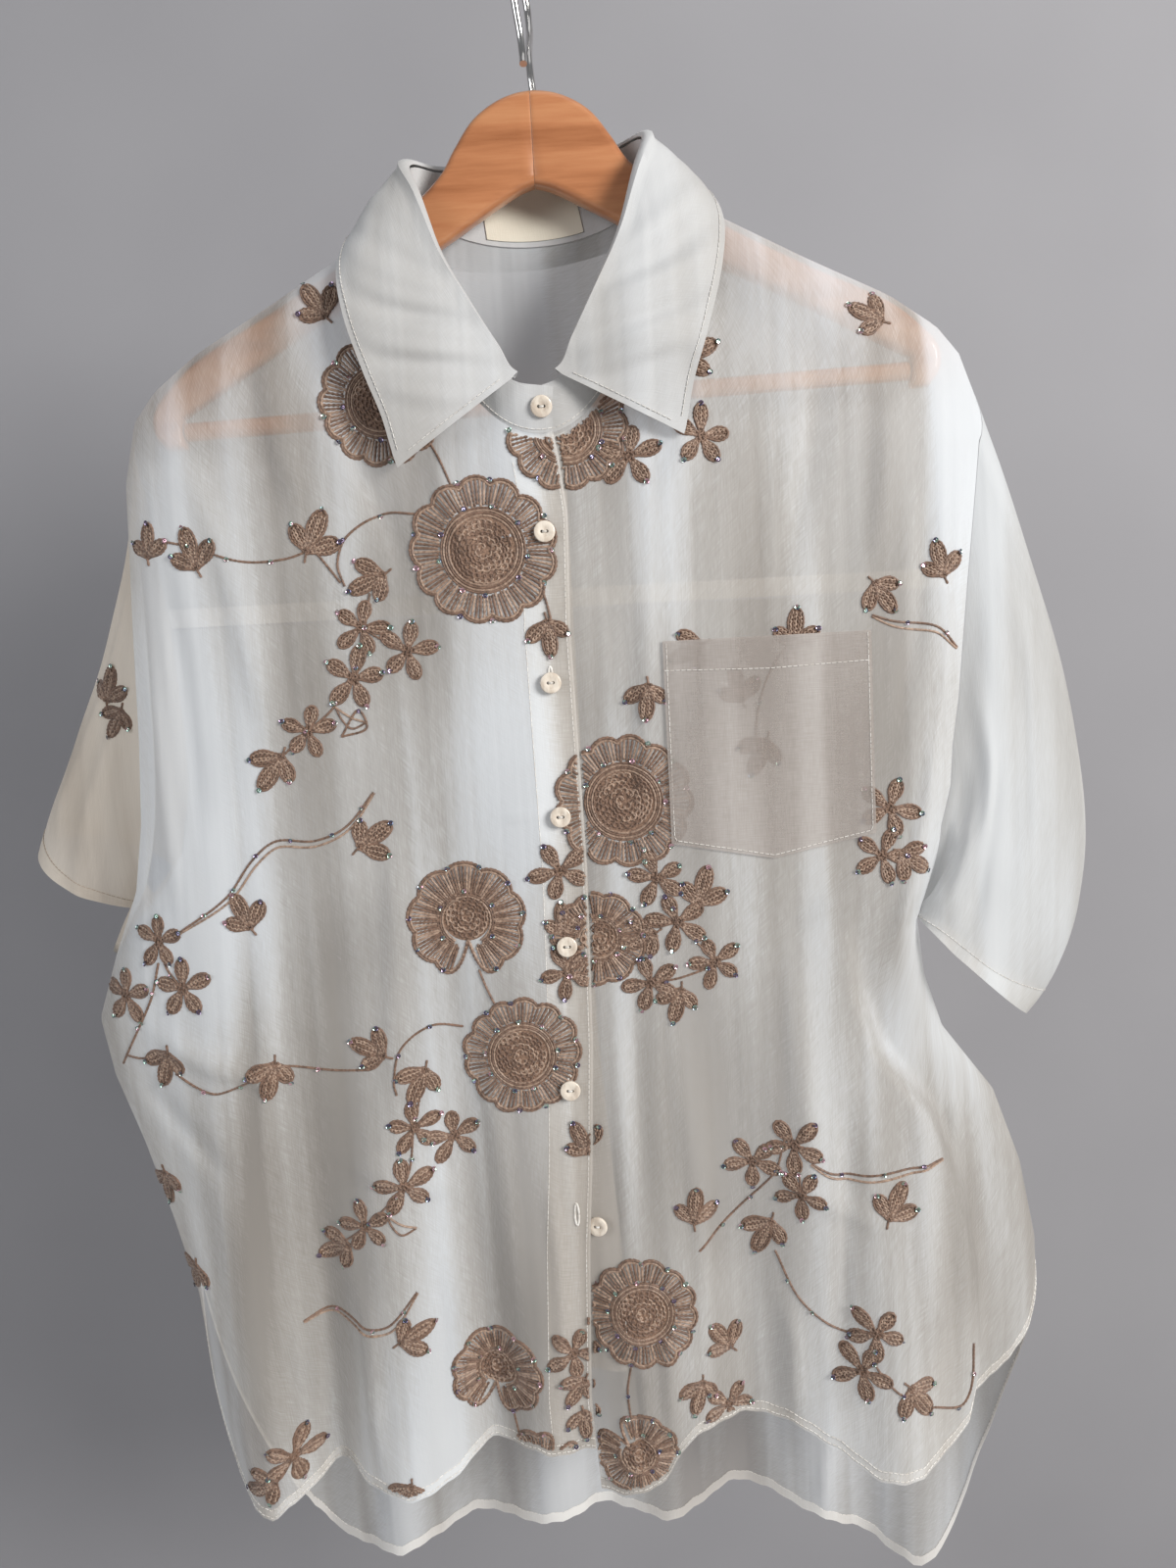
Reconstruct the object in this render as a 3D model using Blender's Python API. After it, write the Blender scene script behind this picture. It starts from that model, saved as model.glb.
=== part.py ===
# A loose embroidered shirt hanging on a wooden hanger, every sewn piece its own thin wall.
# Metres, +Z up. The shirt's front faces -Y and +X is the viewer's right.
# The origin is the inside top of the hook, where the hanger is held.

import math

import bmesh
import bpy
import numpy as np
from mathutils import Vector

MM = 0.001
LEFT, RIGHT = -1, 1
FRONT, BACK = "front", "back"

# Walls and gaps
CLOTH = 1.2 * MM
BAND_CLOTH = 1.0 * MM
STAND_CLOTH = 1.6 * MM
LEAF_CLOTH = 1.8 * MM
SEAM_HALF = 0.36 * MM
YOKE_SEAM_HALF = 0.432 * MM
LAYER_GAP = 0.45 * MM

# Hanger
WOOD_TOP = -69 * MM
HANGER_X = 3 * MM
HANGER_RISE = 0.03  # the right side hangs a little higher
WOOD_THICK = 13 * MM
WOOD_EDGE = 4.5 * MM
CLOTH_OVER_WOOD = 3.4 * MM
BAR_RADIUS = 5 * MM
BAR_DROP = 158 * MM
BAR_HALF = 198.6 * MM
WIRE_RADIUS = 2 * MM
HOOK_INNER = 19 * MM
HOOK_LEAN = 0.09
HOOK_PLANE = math.radians(80)

# Shoulder line, in millimetres from the hanger's middle and below the wood's top
SHOULDER = (("out", "drop"), (52, 42), (65, 51), (100, 75), (144, 99), (189, 122), (214, 140), (226, 155))

# How far the body reaches to each side below the shoulders, in millimetres
SIDES = (
    ("z", "left", "right"),
    (-260, 231, 246),
    (-341, 236, 243),
    (-400, 239, 238),
    (-448, 243, 230),
    (-487, 250, 214),
    (-525, 266, 200),
    (-561, 279, 205),
    (-595, 274, 216),
    (-636, 261, 246),
    (-682, 249, 262),
    (-731, 238, 271),
    (-790, 234, 273),
    (-846, 228, 262),
    (-900, 222, 254),
    (-1000, 214, 252),
)

# The flat of the panels and their depth before and behind the hanger, in millimetres
SECTIONS = (
    ("z", "flat", "front", "back"),
    (-90, 20, 12, 11),
    (-112, 32, 13, 12),
    (-140, 66, 16, 14),
    (-170, 112, 19, 16),
    (-200, 148, 23, 18),
    (-238, 176, 27, 20),
    (-262, 180, 29, 21),
    (-340, 180, 31, 24),
    (-440, 180, 34, 29),
    (-540, 180, 38, 33),
    (-700, 180, 43, 38),
    (-850, 180, 47, 43),
    (-1000, 180, 50, 46),
)
FLAT_FULL = 180 * MM
HEM_LEVEL = -830 * MM

# Vertical folds: place at the top and at the hem, half width, depth towards the back, in millimetres
FRONT_FOLDS = (
    ("x_top", "x_hem", "width", "depth", "z_start"),
    (-205, -192, 22, -15, -420),
    (-150, -154, 13, 17, -560),
    (-112, -108, 22, -13, -500),
    (-70, -62, 18, 13, -380),
    (-30, -28, 14, -5, -600),
    (28, 24, 20, -11, -520),
    (80, 92, 26, 14, -460),
    (165, 172, 26, -16, -540),
)
BACK_FOLDS = (
    ("x_top", "x_hem", "width", "depth", "z_start"),
    (-190, -196, 20, 10, -430),
    (-140, -135, 24, -17, -480),
    (-88, -84, 18, 12, -420),
    (-40, -36, 18, -7, -520),
    (4, 0, 16, 9, -360),
    (48, 44, 16, -9, -520),
    (92, 95, 24, 16, -440),
    (150, 146, 17, -6, -560),
    (196, 205, 24, -20, -600),
)
FOLD_FULL = -850 * MM

# Right side: the front folds back on itself before the side seam
TUCK_IN = 45 * MM
TUCK_DEPTH = 20 * MM
TUCK_RUN = 12 * MM
TUCK_START = -500 * MM
TUCK_FULL = -600 * MM

# Neckline
NECK_X = -1 * MM
NECK_HALF = 63 * MM
NECK_SIDE = -110 * MM
NECK_FRONT = -247 * MM
NECK_BACK = -141 * MM

# Placket edges, x in millimetres at each height
EDGES = (
    ("z", "lap", "under"),
    (-230, 3, -13),
    (-262, 8, -14),
    (-290, 11, -15),
    (-350, 9, -15),
    (-480, 11, -15),
    (-580, 9, -14),
    (-650, 5, -10),
    (-700, 1, -7),
    (-790, -3, -4),
    (-880, 0, 1),
)
BAND_WIDE = 25 * MM
UNDER_BAND_WIDE = 26 * MM
UNDER_BAND_END = -781 * MM
LAPS = (("z", "gap"), (-230, 3.4), (-560, 3.6), (-690, 7.5), (-860, 9))
BAND_START = 0.15  # the strips begin a little below the collar's seam
LAP_FLAT = 26 * MM
LAP_RUN = 34 * MM

# Hems, z in millimetres against the place across the panel (1 is where the flat ends, 2 is the side seam)
FRONT_HEM_LEFT = (
    ("across", "z"),
    (-0.08, -820), (0.12, -824), (0.24, -822), (0.34, -822), (0.46, -834), (0.60, -840),
    (0.72, -838), (0.84, -832), (0.94, -838), (1.10, -846), (1.30, -842), (1.50, -826),
    (1.70, -800), (1.86, -766), (2.0, -735),
)
FRONT_HEM_RIGHT = (
    ("across", "z"),
    (-0.1, -853), (0.12, -852), (0.2, -846), (0.28, -826), (0.45, -816), (0.62, -818),
    (0.76, -830), (0.88, -842), (0.98, -844), (1.12, -838), (1.30, -822), (1.50, -806),
    (1.75, -782), (2.0, -752),
)
BACK_HEM_LEFT = (
    ("across", "z"),
    (0.0, -941), (0.2, -943), (0.4, -944), (0.6, -946), (0.8, -952), (1.0, -950),
    (1.2, -938), (1.4, -912), (1.6, -868), (1.8, -810), (2.0, -735),
)
BACK_HEM_RIGHT = (
    ("across", "z"),
    (0.0, -941), (0.25, -944), (0.5, -936), (0.7, -944), (0.9, -958), (1.1, -972),
    (1.3, -974), (1.45, -955), (1.6, -915), (1.8, -842), (2.0, -752),
)

# Armholes: how far each panel's edge runs round the side, in degrees, 90 being the side itself
ARMHOLE_TOP = -228 * MM
ARMHOLE_FOOT = -525 * MM
ARMHOLE_ROW = 3 * MM
ARMHOLE_EASE = 40 * MM
ARMHOLES = (
    ("z", "front_right_side", "back_right_side", "front_left_side", "back_left_side"),
    (-232, 90, 90, 90, 90),
    (-262, 56, 60, 103, 62),
    (-339, 47, 52, 109, 47),
    (-426, 42, 48, 110, 43),
    (-470, 46, 50, 107, 48),
    (-495, 62, 64, 101, 62),
    (-525, 90, 90, 90, 90),
)

# Columns and rows of the panels, in millimetres
LEFT_FRONT_COLUMNS = (40, 54, 68, 82, 96, 110, 124, 138, 152, 166, 180)
RIGHT_FRONT_COLUMNS = (36, 47, 58, 72, 86, 100, 114, 128, 142, 156, 170, 180)
BACK_COLUMNS = (0, 17, 34, 52, 70, 88, 106, 124, 142, 160, 180)
FRONT_LEVELS = (
    -262, -286, -311, -339, -360, -382, -404, -426, -448, -470, -495, -525, -560, -595, -630, -665, -700,
)
YOKE_LEVELS = (-262, -286, -311, -339)
BACK_LEVELS = (-339, -372, -404, -437, -470, -495, -525, -560, -595, -630, -665, -700)
ARC_PARTS = (0.2, 0.4, 0.58, 0.75, 0.9, 1.0)
TOP_PARTS = (0, 0.13, 0.26, 0.38, 0.49, 0.60, 0.70, 0.80, 0.90)
HEM_STEPS = 6

# Sleeves: a cuff ring from its middle, half its width and half its depth, in millimetres
CUFF_LEFT_SLEEVE = {"middle": (240, -2, -577), "width": (31, 2, -42), "depth": (-14, -46, 32)}
CUFF_RIGHT_SLEEVE = {"middle": (-291, 62, -497), "width": (-42, 8, 19), "depth": (-8, -34, -7)}
PULL_LEFT_SLEEVE = {
    "start": {"top": (34, 0, -118), "front": (26, -14, -30), "foot": (10, 0, -2), "back": (26, 14, -30)},
    "end": {"top": (-42, 0, -92), "front": (-10, -8, -40), "foot": (4, 0, -6), "back": (-10, 8, -40)},
}
PULL_RIGHT_SLEEVE = {
    "start": {"top": (-14, 22, -80), "front": (-24, 12, -25), "foot": (-18, 10, 0), "back": (-8, 28, -25)},
    "end": {"top": (-34, 6, -82), "front": (-16, 0, -40), "foot": (-6, 8, -14), "back": (-12, 8, -40)},
}
SLEEVE_STEPS = 9
ARMHOLE_GAP = 1.6 * MM

# Collar, in millimetres: x from the neck's middle on one side, y, z; place -1 and 1 are its front ends
COLLAR = (
    ("place", "fold_x", "fold_y", "fold_z", "edge_x", "edge_y", "edge_z"),
    (1.00, -8, -33, -226, 70, -38, -262),
    (0.93, 12, -34, -221, 75, -38, -258),
    (0.80, 22, -35, -205, 81, -40, -232),
    (0.65, 35, -34, -181, 89, -41, -203),
    (0.50, 48, -28, -150, 98, -36, -168),
    (0.40, 57, -15, -112, 101, -21, -143),
    (0.33, 62, -2, -93, 95, 1, -127),
    (0.20, 47, 17, -91, 68, 29, -135),
    (0.00, 0, 27, -95, 0, 38, -145),
)
COLLAR_RISE = 0.065  # the collar too sits higher on the right
LEAF_END = 0.93
STAND_GAP = 2.1 * MM
STAND_ROWS = 3
LEAF_COLUMNS = 32
LEAF_START = 2.3 * MM
LEAF_RISE = 4.6 * MM
NUDGE = 0.01
NECK_Y = -5 * MM
NECK_ROUND = (60 * MM, 33 * MM)
LEAF_ROLL = 5.2 * MM
LEAF_BOW = 3 * MM
UNDER_STAND = 3.6 * MM

# Pocket on front_left: its bottom is a shallow point
POCKET_LEFT = 58 * MM
POCKET_RIGHT = 170 * MM
POCKET_TOP = -360 * MM
POCKET_FOOT = -470 * MM
POCKET_POINT = 11 * MM

# Buttons: height of each, the first on the stand, the last on the under front
BUTTON_RADIUS = 5.7 * MM
BUTTON_THICK = 2.2 * MM
BUTTON_DISH = 3.7 * MM
BUTTON_SIDES = 18
BUTTON_HEIGHTS = (-299, -379, -452, -524, -606)
LAST_BUTTON_X = 6.5 * MM
LAST_BUTTON_Z = -689 * MM

LABEL_LEFT = -26 * MM
LABEL_RIGHT = 28 * MM

COLOURS = {
    "embroidered_cloth": (0.80, 0.79, 0.77),
    "plain_cloth": (0.82, 0.81, 0.80),
    "collar_cloth": (0.86, 0.86, 0.86),
    "pocket_cloth": (0.74, 0.69, 0.65),
    "label_cloth": (0.85, 0.80, 0.70),
    "button": (0.74, 0.68, 0.60),
    "wood": (0.52, 0.24, 0.10),
    "wire": (0.62, 0.60, 0.58),
}


def clear_scene():
    for obj in list(bpy.data.objects):
        bpy.data.objects.remove(obj)


def material(name, roughness=0.8, metallic=0.0):
    found = bpy.data.materials.get(name)
    if found:
        return found
    made = bpy.data.materials.new(name)
    made.use_nodes = True
    shader = made.node_tree.nodes["Principled BSDF"]
    shader.inputs["Base Color"].default_value = (*COLOURS[name], 1)
    shader.inputs["Roughness"].default_value = roughness
    shader.inputs["Metallic"].default_value = metallic
    return made


def read(table, name, at, unit=MM):
    # One named column of a table, between the rows of its first column
    column = table[0].index(name)
    rows = sorted(table[1:])
    return float(np.interp(at / unit, [row[0] for row in rows], [row[column] for row in rows])) * MM


def smooth(value):
    value = min(max(value, 0.0), 1.0)
    return value * value * (3 - 2 * value)


def reach(side, z):
    # How far the body reaches on one side: over the shoulder it follows the hanger's arm
    over = (WOOD_TOP + CLOTH_OVER_WOOD) / MM
    rows = [
        (over - drop + HANGER_RISE * side * out, out + side * HANGER_X / MM)
        for out, drop in SHOULDER[1:]
    ]
    rows += [(row[0], row[1] if side == LEFT else row[2]) for row in SIDES[1:]]
    return read([("z", "reach")] + rows, "reach", z)


def fold_depth(face, x, z):
    total = 0.0
    folds = FRONT_FOLDS if face == FRONT else BACK_FOLDS
    for x_top, x_hem, width, depth, z_start in folds[1:]:
        grown = smooth((z_start * MM - z) / (z_start * MM - FOLD_FULL))
        middle = (x_top + (x_hem - x_top) * grown) * MM
        total += depth * MM * grown * math.exp(-(((x - middle) / (width * MM)) ** 2))
    return total


def cloth_point(side, face, z, across, turn=0.0):
    # A point of the body: across is metres from the middle on the panel's flat,
    # turn is degrees round the side, 90 at the side itself
    flat = read(SECTIONS, "flat", z)
    radius = reach(side, z) - flat
    angle = math.radians(turn)
    x = across / FLAT_FULL * flat + radius * math.sin(angle)
    before = (face == FRONT) == (turn <= 90)
    depth = read(SECTIONS, FRONT if before else BACK, z)
    y = depth * math.cos(angle) * (-1 if face == FRONT else 1)
    y += fold_depth(face, side * x, z) * max(math.cos(angle), 0)
    if face == FRONT and side == RIGHT:
        tuck = smooth((TUCK_START - z) / (TUCK_START - TUCK_FULL))
        start = reach(side, z) - TUCK_IN - TUCK_RUN / 2
        y += TUCK_DEPTH * tuck * smooth((x - start) / TUCK_RUN) * max(math.cos(angle), 0)
        lap = read(LAPS, "gap", z)
        y += lap * (1 - smooth((x - LAP_FLAT) / LAP_RUN)) * max(math.cos(angle), 0)
    return np.array((side * x, y, z))


def neck_half(face, z):
    # Half the width of the neck hole at a height
    drop = NECK_SIDE - (NECK_FRONT if face == FRONT else NECK_BACK)
    down = min(max((NECK_SIDE - z) / drop, 0.0), 1.0)
    return NECK_HALF * math.sqrt(1 - down * down)


def neck_height(side, face, across, turn):
    # Where a column of a panel meets the neckline
    low, high = NECK_FRONT if face == FRONT else NECK_BACK, NECK_SIDE
    for _ in range(40):
        middle = (low + high) / 2
        x = cloth_point(side, face, middle, across(middle), turn(middle))[0]
        if abs(x - NECK_X) > neck_half(face, middle):
            low = middle
        else:
            high = middle
    return low


def edge_turn(side, face, z):
    # How far round the side a panel's edge lies, its seam gap taken off
    turn = read(ARMHOLES, f"{face}_{'right' if side == RIGHT else 'left'}_side", z) / MM
    radius = reach(side, z) - read(SECTIONS, "flat", z)
    depth = read(SECTIONS, face, z)
    run = math.hypot(radius * math.cos(math.radians(turn)), depth * math.sin(math.radians(turn)))
    return turn - math.degrees(SEAM_HALF / run)


def panel_columns(side, face):
    # The columns of half a body panel, from the middle or the placket edge to its outer edge.
    # Each is (across, turn, place), two functions of height and its place along the hem
    columns = []
    if face == FRONT:
        name, sign = ("lap", -1) if side == LEFT else ("under", 1)
        wide = BAND_WIDE if side == LEFT else UNDER_BAND_WIDE
        for step in (0.0, 0.5, 1.0):
            columns.append((lambda z, s=step: sign * read(EDGES, name, z) + s * wide, lambda z: 0.0, 0.0))
        flats = LEFT_FRONT_COLUMNS if side == LEFT else RIGHT_FRONT_COLUMNS
    else:
        flats = BACK_COLUMNS
    for flat in flats:
        columns.append((lambda z, f=flat: f * MM, lambda z: 0.0, 0.0))
    for part in ARC_PARTS:
        columns.append((lambda z: FLAT_FULL, lambda z, p=part: p * edge_turn(side, face, z), part))
    return columns


def hem_height(side, face, column):
    table = {
        (LEFT, FRONT): FRONT_HEM_LEFT,
        (RIGHT, FRONT): FRONT_HEM_RIGHT,
        (LEFT, BACK): BACK_HEM_LEFT,
        (RIGHT, BACK): BACK_HEM_RIGHT,
    }[side, face]
    across, _, part = column
    return read(table, "z", 1 + part if part else across(HEM_LEVEL) / FLAT_FULL, 1)


def half_panel(side, face, levels, top_parts, hem_steps):
    # Points of half a panel, rows down and columns outwards. With top parts it starts at the neckline,
    # with hem steps it ends at the hem
    columns = panel_columns(side, face)
    rows = []
    for column in columns:
        across, turn, _ = column
        heights = [level * MM for level in levels]
        if top_parts:
            top = neck_height(side, face, across, turn)
            start = [top + (heights[0] - top) * part for part in top_parts]
            heights = start + heights
        if hem_steps:
            foot = hem_height(side, face, column)
            last = heights[-1]
            heights += [last + (foot - last) * step / hem_steps for step in range(1, hem_steps + 1)]
        rows.append([cloth_point(side, face, z, across(z), turn(z)) for z in heights])
    return np.array(rows).transpose(1, 0, 2)


def both_halves(left, right):
    # One grid from the left side to the right side, its middle column shared
    return np.concatenate([left[:, :0:-1], right], axis=1)


def trim_row(grid, row, toward, gap):
    # Draws one row of a grid back from a seam
    step = grid[toward] - grid[row]
    grid[row] = grid[row] + step / np.maximum(np.linalg.norm(step, axis=-1, keepdims=True), 1e-9) * gap


def grid_faces(rows, columns, ring):
    faces = []
    for row in range(rows - 1):
        for column in range(columns if ring else columns - 1):
            after = (column + 1) % columns
            a, b = row * columns + column, row * columns + after
            c, d = b + columns, a + columns
            faces += [(a, b, c), (a, c, d)]
    return faces


def grid_normals(grid):
    # Unit normals at the points of a grid, out of the side that its faces show
    rows, columns = grid.shape[:2]
    points = grid.reshape(-1, 3)
    faces = np.array(grid_faces(rows, columns, False))
    corners = points[faces]
    around = np.cross(corners[:, 1] - corners[:, 0], corners[:, 2] - corners[:, 0])
    total = np.zeros_like(points)
    for corner in range(3):
        np.add.at(total, faces[:, corner], around)
    return (total / np.linalg.norm(total, axis=1, keepdims=True)).reshape(grid.shape)


def cloth(name, grid, thickness, finish, ring=False):
    # A wall of cloth on a grid of points
    mesh = bpy.data.meshes.new(name)
    rows, columns = grid.shape[:2]
    mesh.from_pydata(grid.reshape(-1, 3).tolist(), [], grid_faces(rows, columns, ring))
    mesh.materials.append(material(finish))
    mesh.shade_smooth()
    obj = bpy.data.objects.new(name, mesh)
    bpy.context.scene.collection.objects.link(obj)
    wall = obj.modifiers.new("wall", "SOLIDIFY")
    wall.thickness = thickness
    wall.offset = 0
    return obj


def sleeve_grid(loop, front_count, cuff, pull):
    # Threads run from the armhole's points to the cuff ring, each a cubic curve
    middle, width, depth = (np.array(cuff[key]) * MM for key in ("middle", "width", "depth"))
    back_count = len(loop) - front_count
    angles = [math.pi * i / (front_count - 1) for i in range(front_count)]
    angles += [math.pi + math.pi * (i + 1) / (back_count + 1) for i in range(back_count)]
    threads = []
    for point, angle in zip(loop, angles):
        end = middle + width * math.cos(angle) + depth * math.sin(angle)
        leave, arrive = (pull_at(pull[key], angle) for key in ("start", "end"))
        controls = (point, point + leave, end - arrive, end)
        thread = []
        for step in range(SLEEVE_STEPS + 1):
            t = step / SLEEVE_STEPS
            weights = ((1 - t) ** 3, 3 * t * (1 - t) ** 2, 3 * t * t * (1 - t), t**3)
            thread.append(sum(weight * control for weight, control in zip(weights, controls)))
        threads.append(thread)
    return np.array(threads).transpose(1, 0, 2)


def pull_at(pulls, angle):
    # How a thread leaves the armhole or reaches the cuff, 0 being the top and 180 degrees the underarm
    upper, lower = max(math.cos(angle), 0) ** 2, max(-math.cos(angle), 0) ** 2
    beside = np.array(pulls["front" if angle <= math.pi else "back"]) * math.sin(angle) ** 2
    return (np.array(pulls["top"]) * upper + np.array(pulls["foot"]) * lower + beside) * MM


def armhole_edge(grid, column, side):
    # The stretch of a panel's outer edge between the armhole's top and foot, moved off it by the seam's gap
    edge, inner = grid[:, column], grid[:, column + (1 if column == 0 else -1)]
    onward = (edge - inner) / np.linalg.norm(edge - inner, axis=1, keepdims=True)
    ends = np.array([
        1 - smooth((ARMHOLE_TOP - z) / ARMHOLE_EASE) * smooth((z - ARMHOLE_FOOT) / ARMHOLE_EASE)
        for z in edge[:, 2]
    ])
    away = onward * (1 - ends[:, None]) + np.array((side, 0, 0)) * ends[:, None]
    moved = edge + away / np.linalg.norm(away, axis=1, keepdims=True) * ARMHOLE_GAP
    keep = (edge[:, 2] <= ARMHOLE_TOP + ARMHOLE_ROW) & (edge[:, 2] >= ARMHOLE_FOOT - ARMHOLE_ROW)
    return moved[keep]


def collar_line(place, kind):
    # A point of the collar's fold or outer edge, place running from -1 to 1 round the neck
    rows = sorted(COLLAR[1:])
    places = [row[0] for row in rows]
    values = []
    for axis in "xyz":
        column = COLLAR[0].index(f"{kind}_{axis}")
        known = [row[column] for row in rows]
        mirrored = [-value if axis == "x" else value for value in known[:0:-1]]
        values.append(catmull([-p for p in places[:0:-1]] + places, mirrored + known, place))
    x, y, z = (value * MM for value in values)
    y += UNDER_STAND * smooth((place - 0.70) / 0.2)
    return np.array((NECK_X + x, y, z + COLLAR_RISE * x))


def catmull(keys, values, at):
    # A smooth curve through values at uneven keys
    index = min(max(int(np.searchsorted(keys, at)) - 1, 0), len(keys) - 2)
    k0, k1 = keys[index], keys[index + 1]
    v0, v1 = values[index], values[index + 1]
    before = max(index - 1, 0)
    after = min(index + 2, len(keys) - 1)
    slope0 = (v1 - values[before]) / (k1 - keys[before])
    slope1 = (values[after] - v0) / (keys[after] - k0)
    run = k1 - k0
    t = (at - k0) / run
    return (
        (2 * t**3 - 3 * t**2 + 1) * v0
        + (t**3 - 2 * t**2 + t) * run * slope0
        + (-2 * t**3 + 3 * t**2) * v1
        + (t**3 - t**2) * run * slope1
    )


def run_along(points):
    # How far along a line each of its points lies, from 0 to 1
    steps = np.linalg.norm(np.diff(points, axis=0), axis=1)
    return np.concatenate([[0], np.cumsum(steps)]) / steps.sum()


def stand_grid(lap_neck, back_neck, under_neck):
    # The stand rises from the neckline's own points to the collar's fold
    feet = np.concatenate([lap_neck, back_neck[1:-1], under_neck])
    marks = np.linspace(-1, 1, 81)
    folded = run_along([collar_line(mark, "fold") for mark in marks])
    places = np.interp(run_along(feet), folded, marks)
    rows = []
    for row in range(STAND_ROWS + 1):
        t = row / STAND_ROWS
        line = []
        for foot, place in zip(feet, places):
            top = collar_line(place, "fold")
            gap = (top - foot) / np.linalg.norm(top - foot) * STAND_GAP
            line.append(foot + gap + (top - foot - gap) * t)
        rows.append(line)
    return np.array(rows)


def leaf_grid():
    # The leaf starts just over the stand, rolls over and falls to its outer edge
    rows = [[] for _ in range(7)]
    for step in range(LEAF_COLUMNS + 1):
        place = LEAF_END * (2 * step / LEAF_COLUMNS - 1)
        fold, edge = collar_line(place, "fold"), collar_line(place, "edge")
        along = collar_line(place + NUDGE, "fold") - collar_line(place - NUDGE, "fold")
        along /= np.linalg.norm(along)
        out = np.array(((fold[0] - NECK_X) / NECK_ROUND[0] ** 2, (fold[1] - NECK_Y) / NECK_ROUND[1] ** 2, 0))
        out -= along * (out @ along)
        out /= np.linalg.norm(out)
        up = np.cross(along, out)
        up *= 1 if up[2] > 0 else -1
        rolled = fold + out * LEAF_ROLL + up * LEAF_RISE * 0.55
        rows[0].append(fold + up * LEAF_START)
        rows[1].append(fold + up * LEAF_RISE + out * LEAF_ROLL * 0.3)
        rows[2].append(rolled)
        for row, part in ((3, 0.22), (4, 0.48), (5, 0.74), (6, 1.0)):
            rows[row].append(rolled + (edge - rolled) * part + out * LEAF_BOW * math.sin(math.pi * part))
    return np.array(rows)


def pocket_grid(front):
    # The pocket repeats the panel's own points, moved out, with its last row on the shallow point
    normals = grid_normals(front)
    flat = front[20]
    columns = [i for i in range(front.shape[1]) if POCKET_LEFT - MM < flat[i, 0] < POCKET_RIGHT + MM]
    low, high = POCKET_FOOT - MM, POCKET_TOP + MM
    levels = [i for i in range(front.shape[0]) if low < front[i, columns[0], 2] < high]
    out = CLOTH + LAYER_GAP
    grid = (front + outward(normals) * out)[np.ix_(levels, columns)]
    foot, below = grid[-1], (front + outward(normals) * out)[levels[-1] + 1, columns]
    middle, half = (POCKET_LEFT + POCKET_RIGHT) / 2, (POCKET_RIGHT - POCKET_LEFT) / 2
    for i, point in enumerate(foot.copy()):
        drop = POCKET_POINT * (1 - abs(point[0] - middle) / half)
        grid[-1, i] = point + (below[i] - point) * drop / (point[2] - below[i][2])
    return grid


def outward(normals):
    # Turns normals of a front panel so that they point at the viewer
    return normals * np.where(normals[..., 1:2] > 0, -1, 1)


def band_grid(front, wide_columns, last_row):
    # A facing strip behind the first columns of a front
    inner = (CLOTH + BAND_CLOTH) / 2 + LAYER_GAP
    moved = front - outward(grid_normals(front)) * inner
    strip = moved[:last_row, :wide_columns].copy()
    strip[0] += (strip[1] - strip[0]) * BAND_START
    return strip


def button(name, centre, facing):
    # A disc with a rounded rim and a shallow dish, its back just off the cloth
    mesh = bpy.data.meshes.new(name)
    shape = bmesh.new()
    profile = (
        (0.0, BUTTON_RADIUS - 0.5 * MM),
        (0.5 * MM, BUTTON_RADIUS),
        (BUTTON_THICK - 0.6 * MM, BUTTON_RADIUS),
        (BUTTON_THICK, BUTTON_RADIUS - 0.7 * MM),
        (BUTTON_THICK, BUTTON_DISH),
        (BUTTON_THICK - 0.5 * MM, BUTTON_DISH - 0.6 * MM),
    )
    rings = []
    for height, radius in profile:
        turns = [2 * math.pi * i / BUTTON_SIDES for i in range(BUTTON_SIDES)]
        rings.append([shape.verts.new((radius * math.cos(a), radius * math.sin(a), height)) for a in turns])
    for low, high in zip(rings, rings[1:]):
        for i in range(BUTTON_SIDES):
            k = (i + 1) % BUTTON_SIDES
            shape.faces.new((low[i], low[k], high[k], high[i]))
    shape.faces.new(rings[0][::-1])
    shape.faces.new(rings[-1])
    shape.to_mesh(mesh)
    shape.free()
    mesh.materials.append(material("button", 0.35))
    mesh.shade_smooth()
    mesh.set_sharp_from_angle(angle=math.radians(40))
    obj = bpy.data.objects.new(name, mesh)
    bpy.context.scene.collection.objects.link(obj)
    obj.rotation_mode = "QUATERNION"
    obj.rotation_quaternion = Vector(facing.tolist()).to_track_quat("Z", "Y")
    obj.location = centre


def panel_spot(grid, x, z):
    # Point and outward normal of a front panel where the line along Y at x and z meets its faces
    rows, columns = grid.shape[:2]
    points = grid.reshape(-1, 3)
    for face in grid_faces(rows, columns, False):
        a, b, c = points[list(face)]
        edges = np.array([[b[0] - a[0], c[0] - a[0]], [b[2] - a[2], c[2] - a[2]]])
        if abs(np.linalg.det(edges)) < 1e-12:
            continue
        s, t = np.linalg.solve(edges, (x - a[0], z - a[2]))
        if s >= -1e-6 and t >= -1e-6 and s + t <= 1 + 1e-6:
            normal = np.cross(b - a, c - a)
            normal /= np.linalg.norm(normal)
            return a + (b - a) * s + (c - a) * t, normal if normal[1] < 0 else -normal
    raise ValueError("no cloth there")


def hanger_outline():
    # One arm's outline, in millimetres from the wood's top at the mitre, drawn for the right arm
    top = [(0, 0), (16, -3), (31, -12), (42, -26), (50, -38)]
    shoulder = [(out, -drop) for out, drop in SHOULDER[2:-2]]
    tip = [(209, -139), (215, -148), (215, -159), (209, -167), (199.2, -167), (199.2, -151)]
    under = [(176, -138), (120, -107), (58, -77), (24, -58), (8, -49.5), (0, -47)]
    return top + shoulder + tip + under


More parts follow.
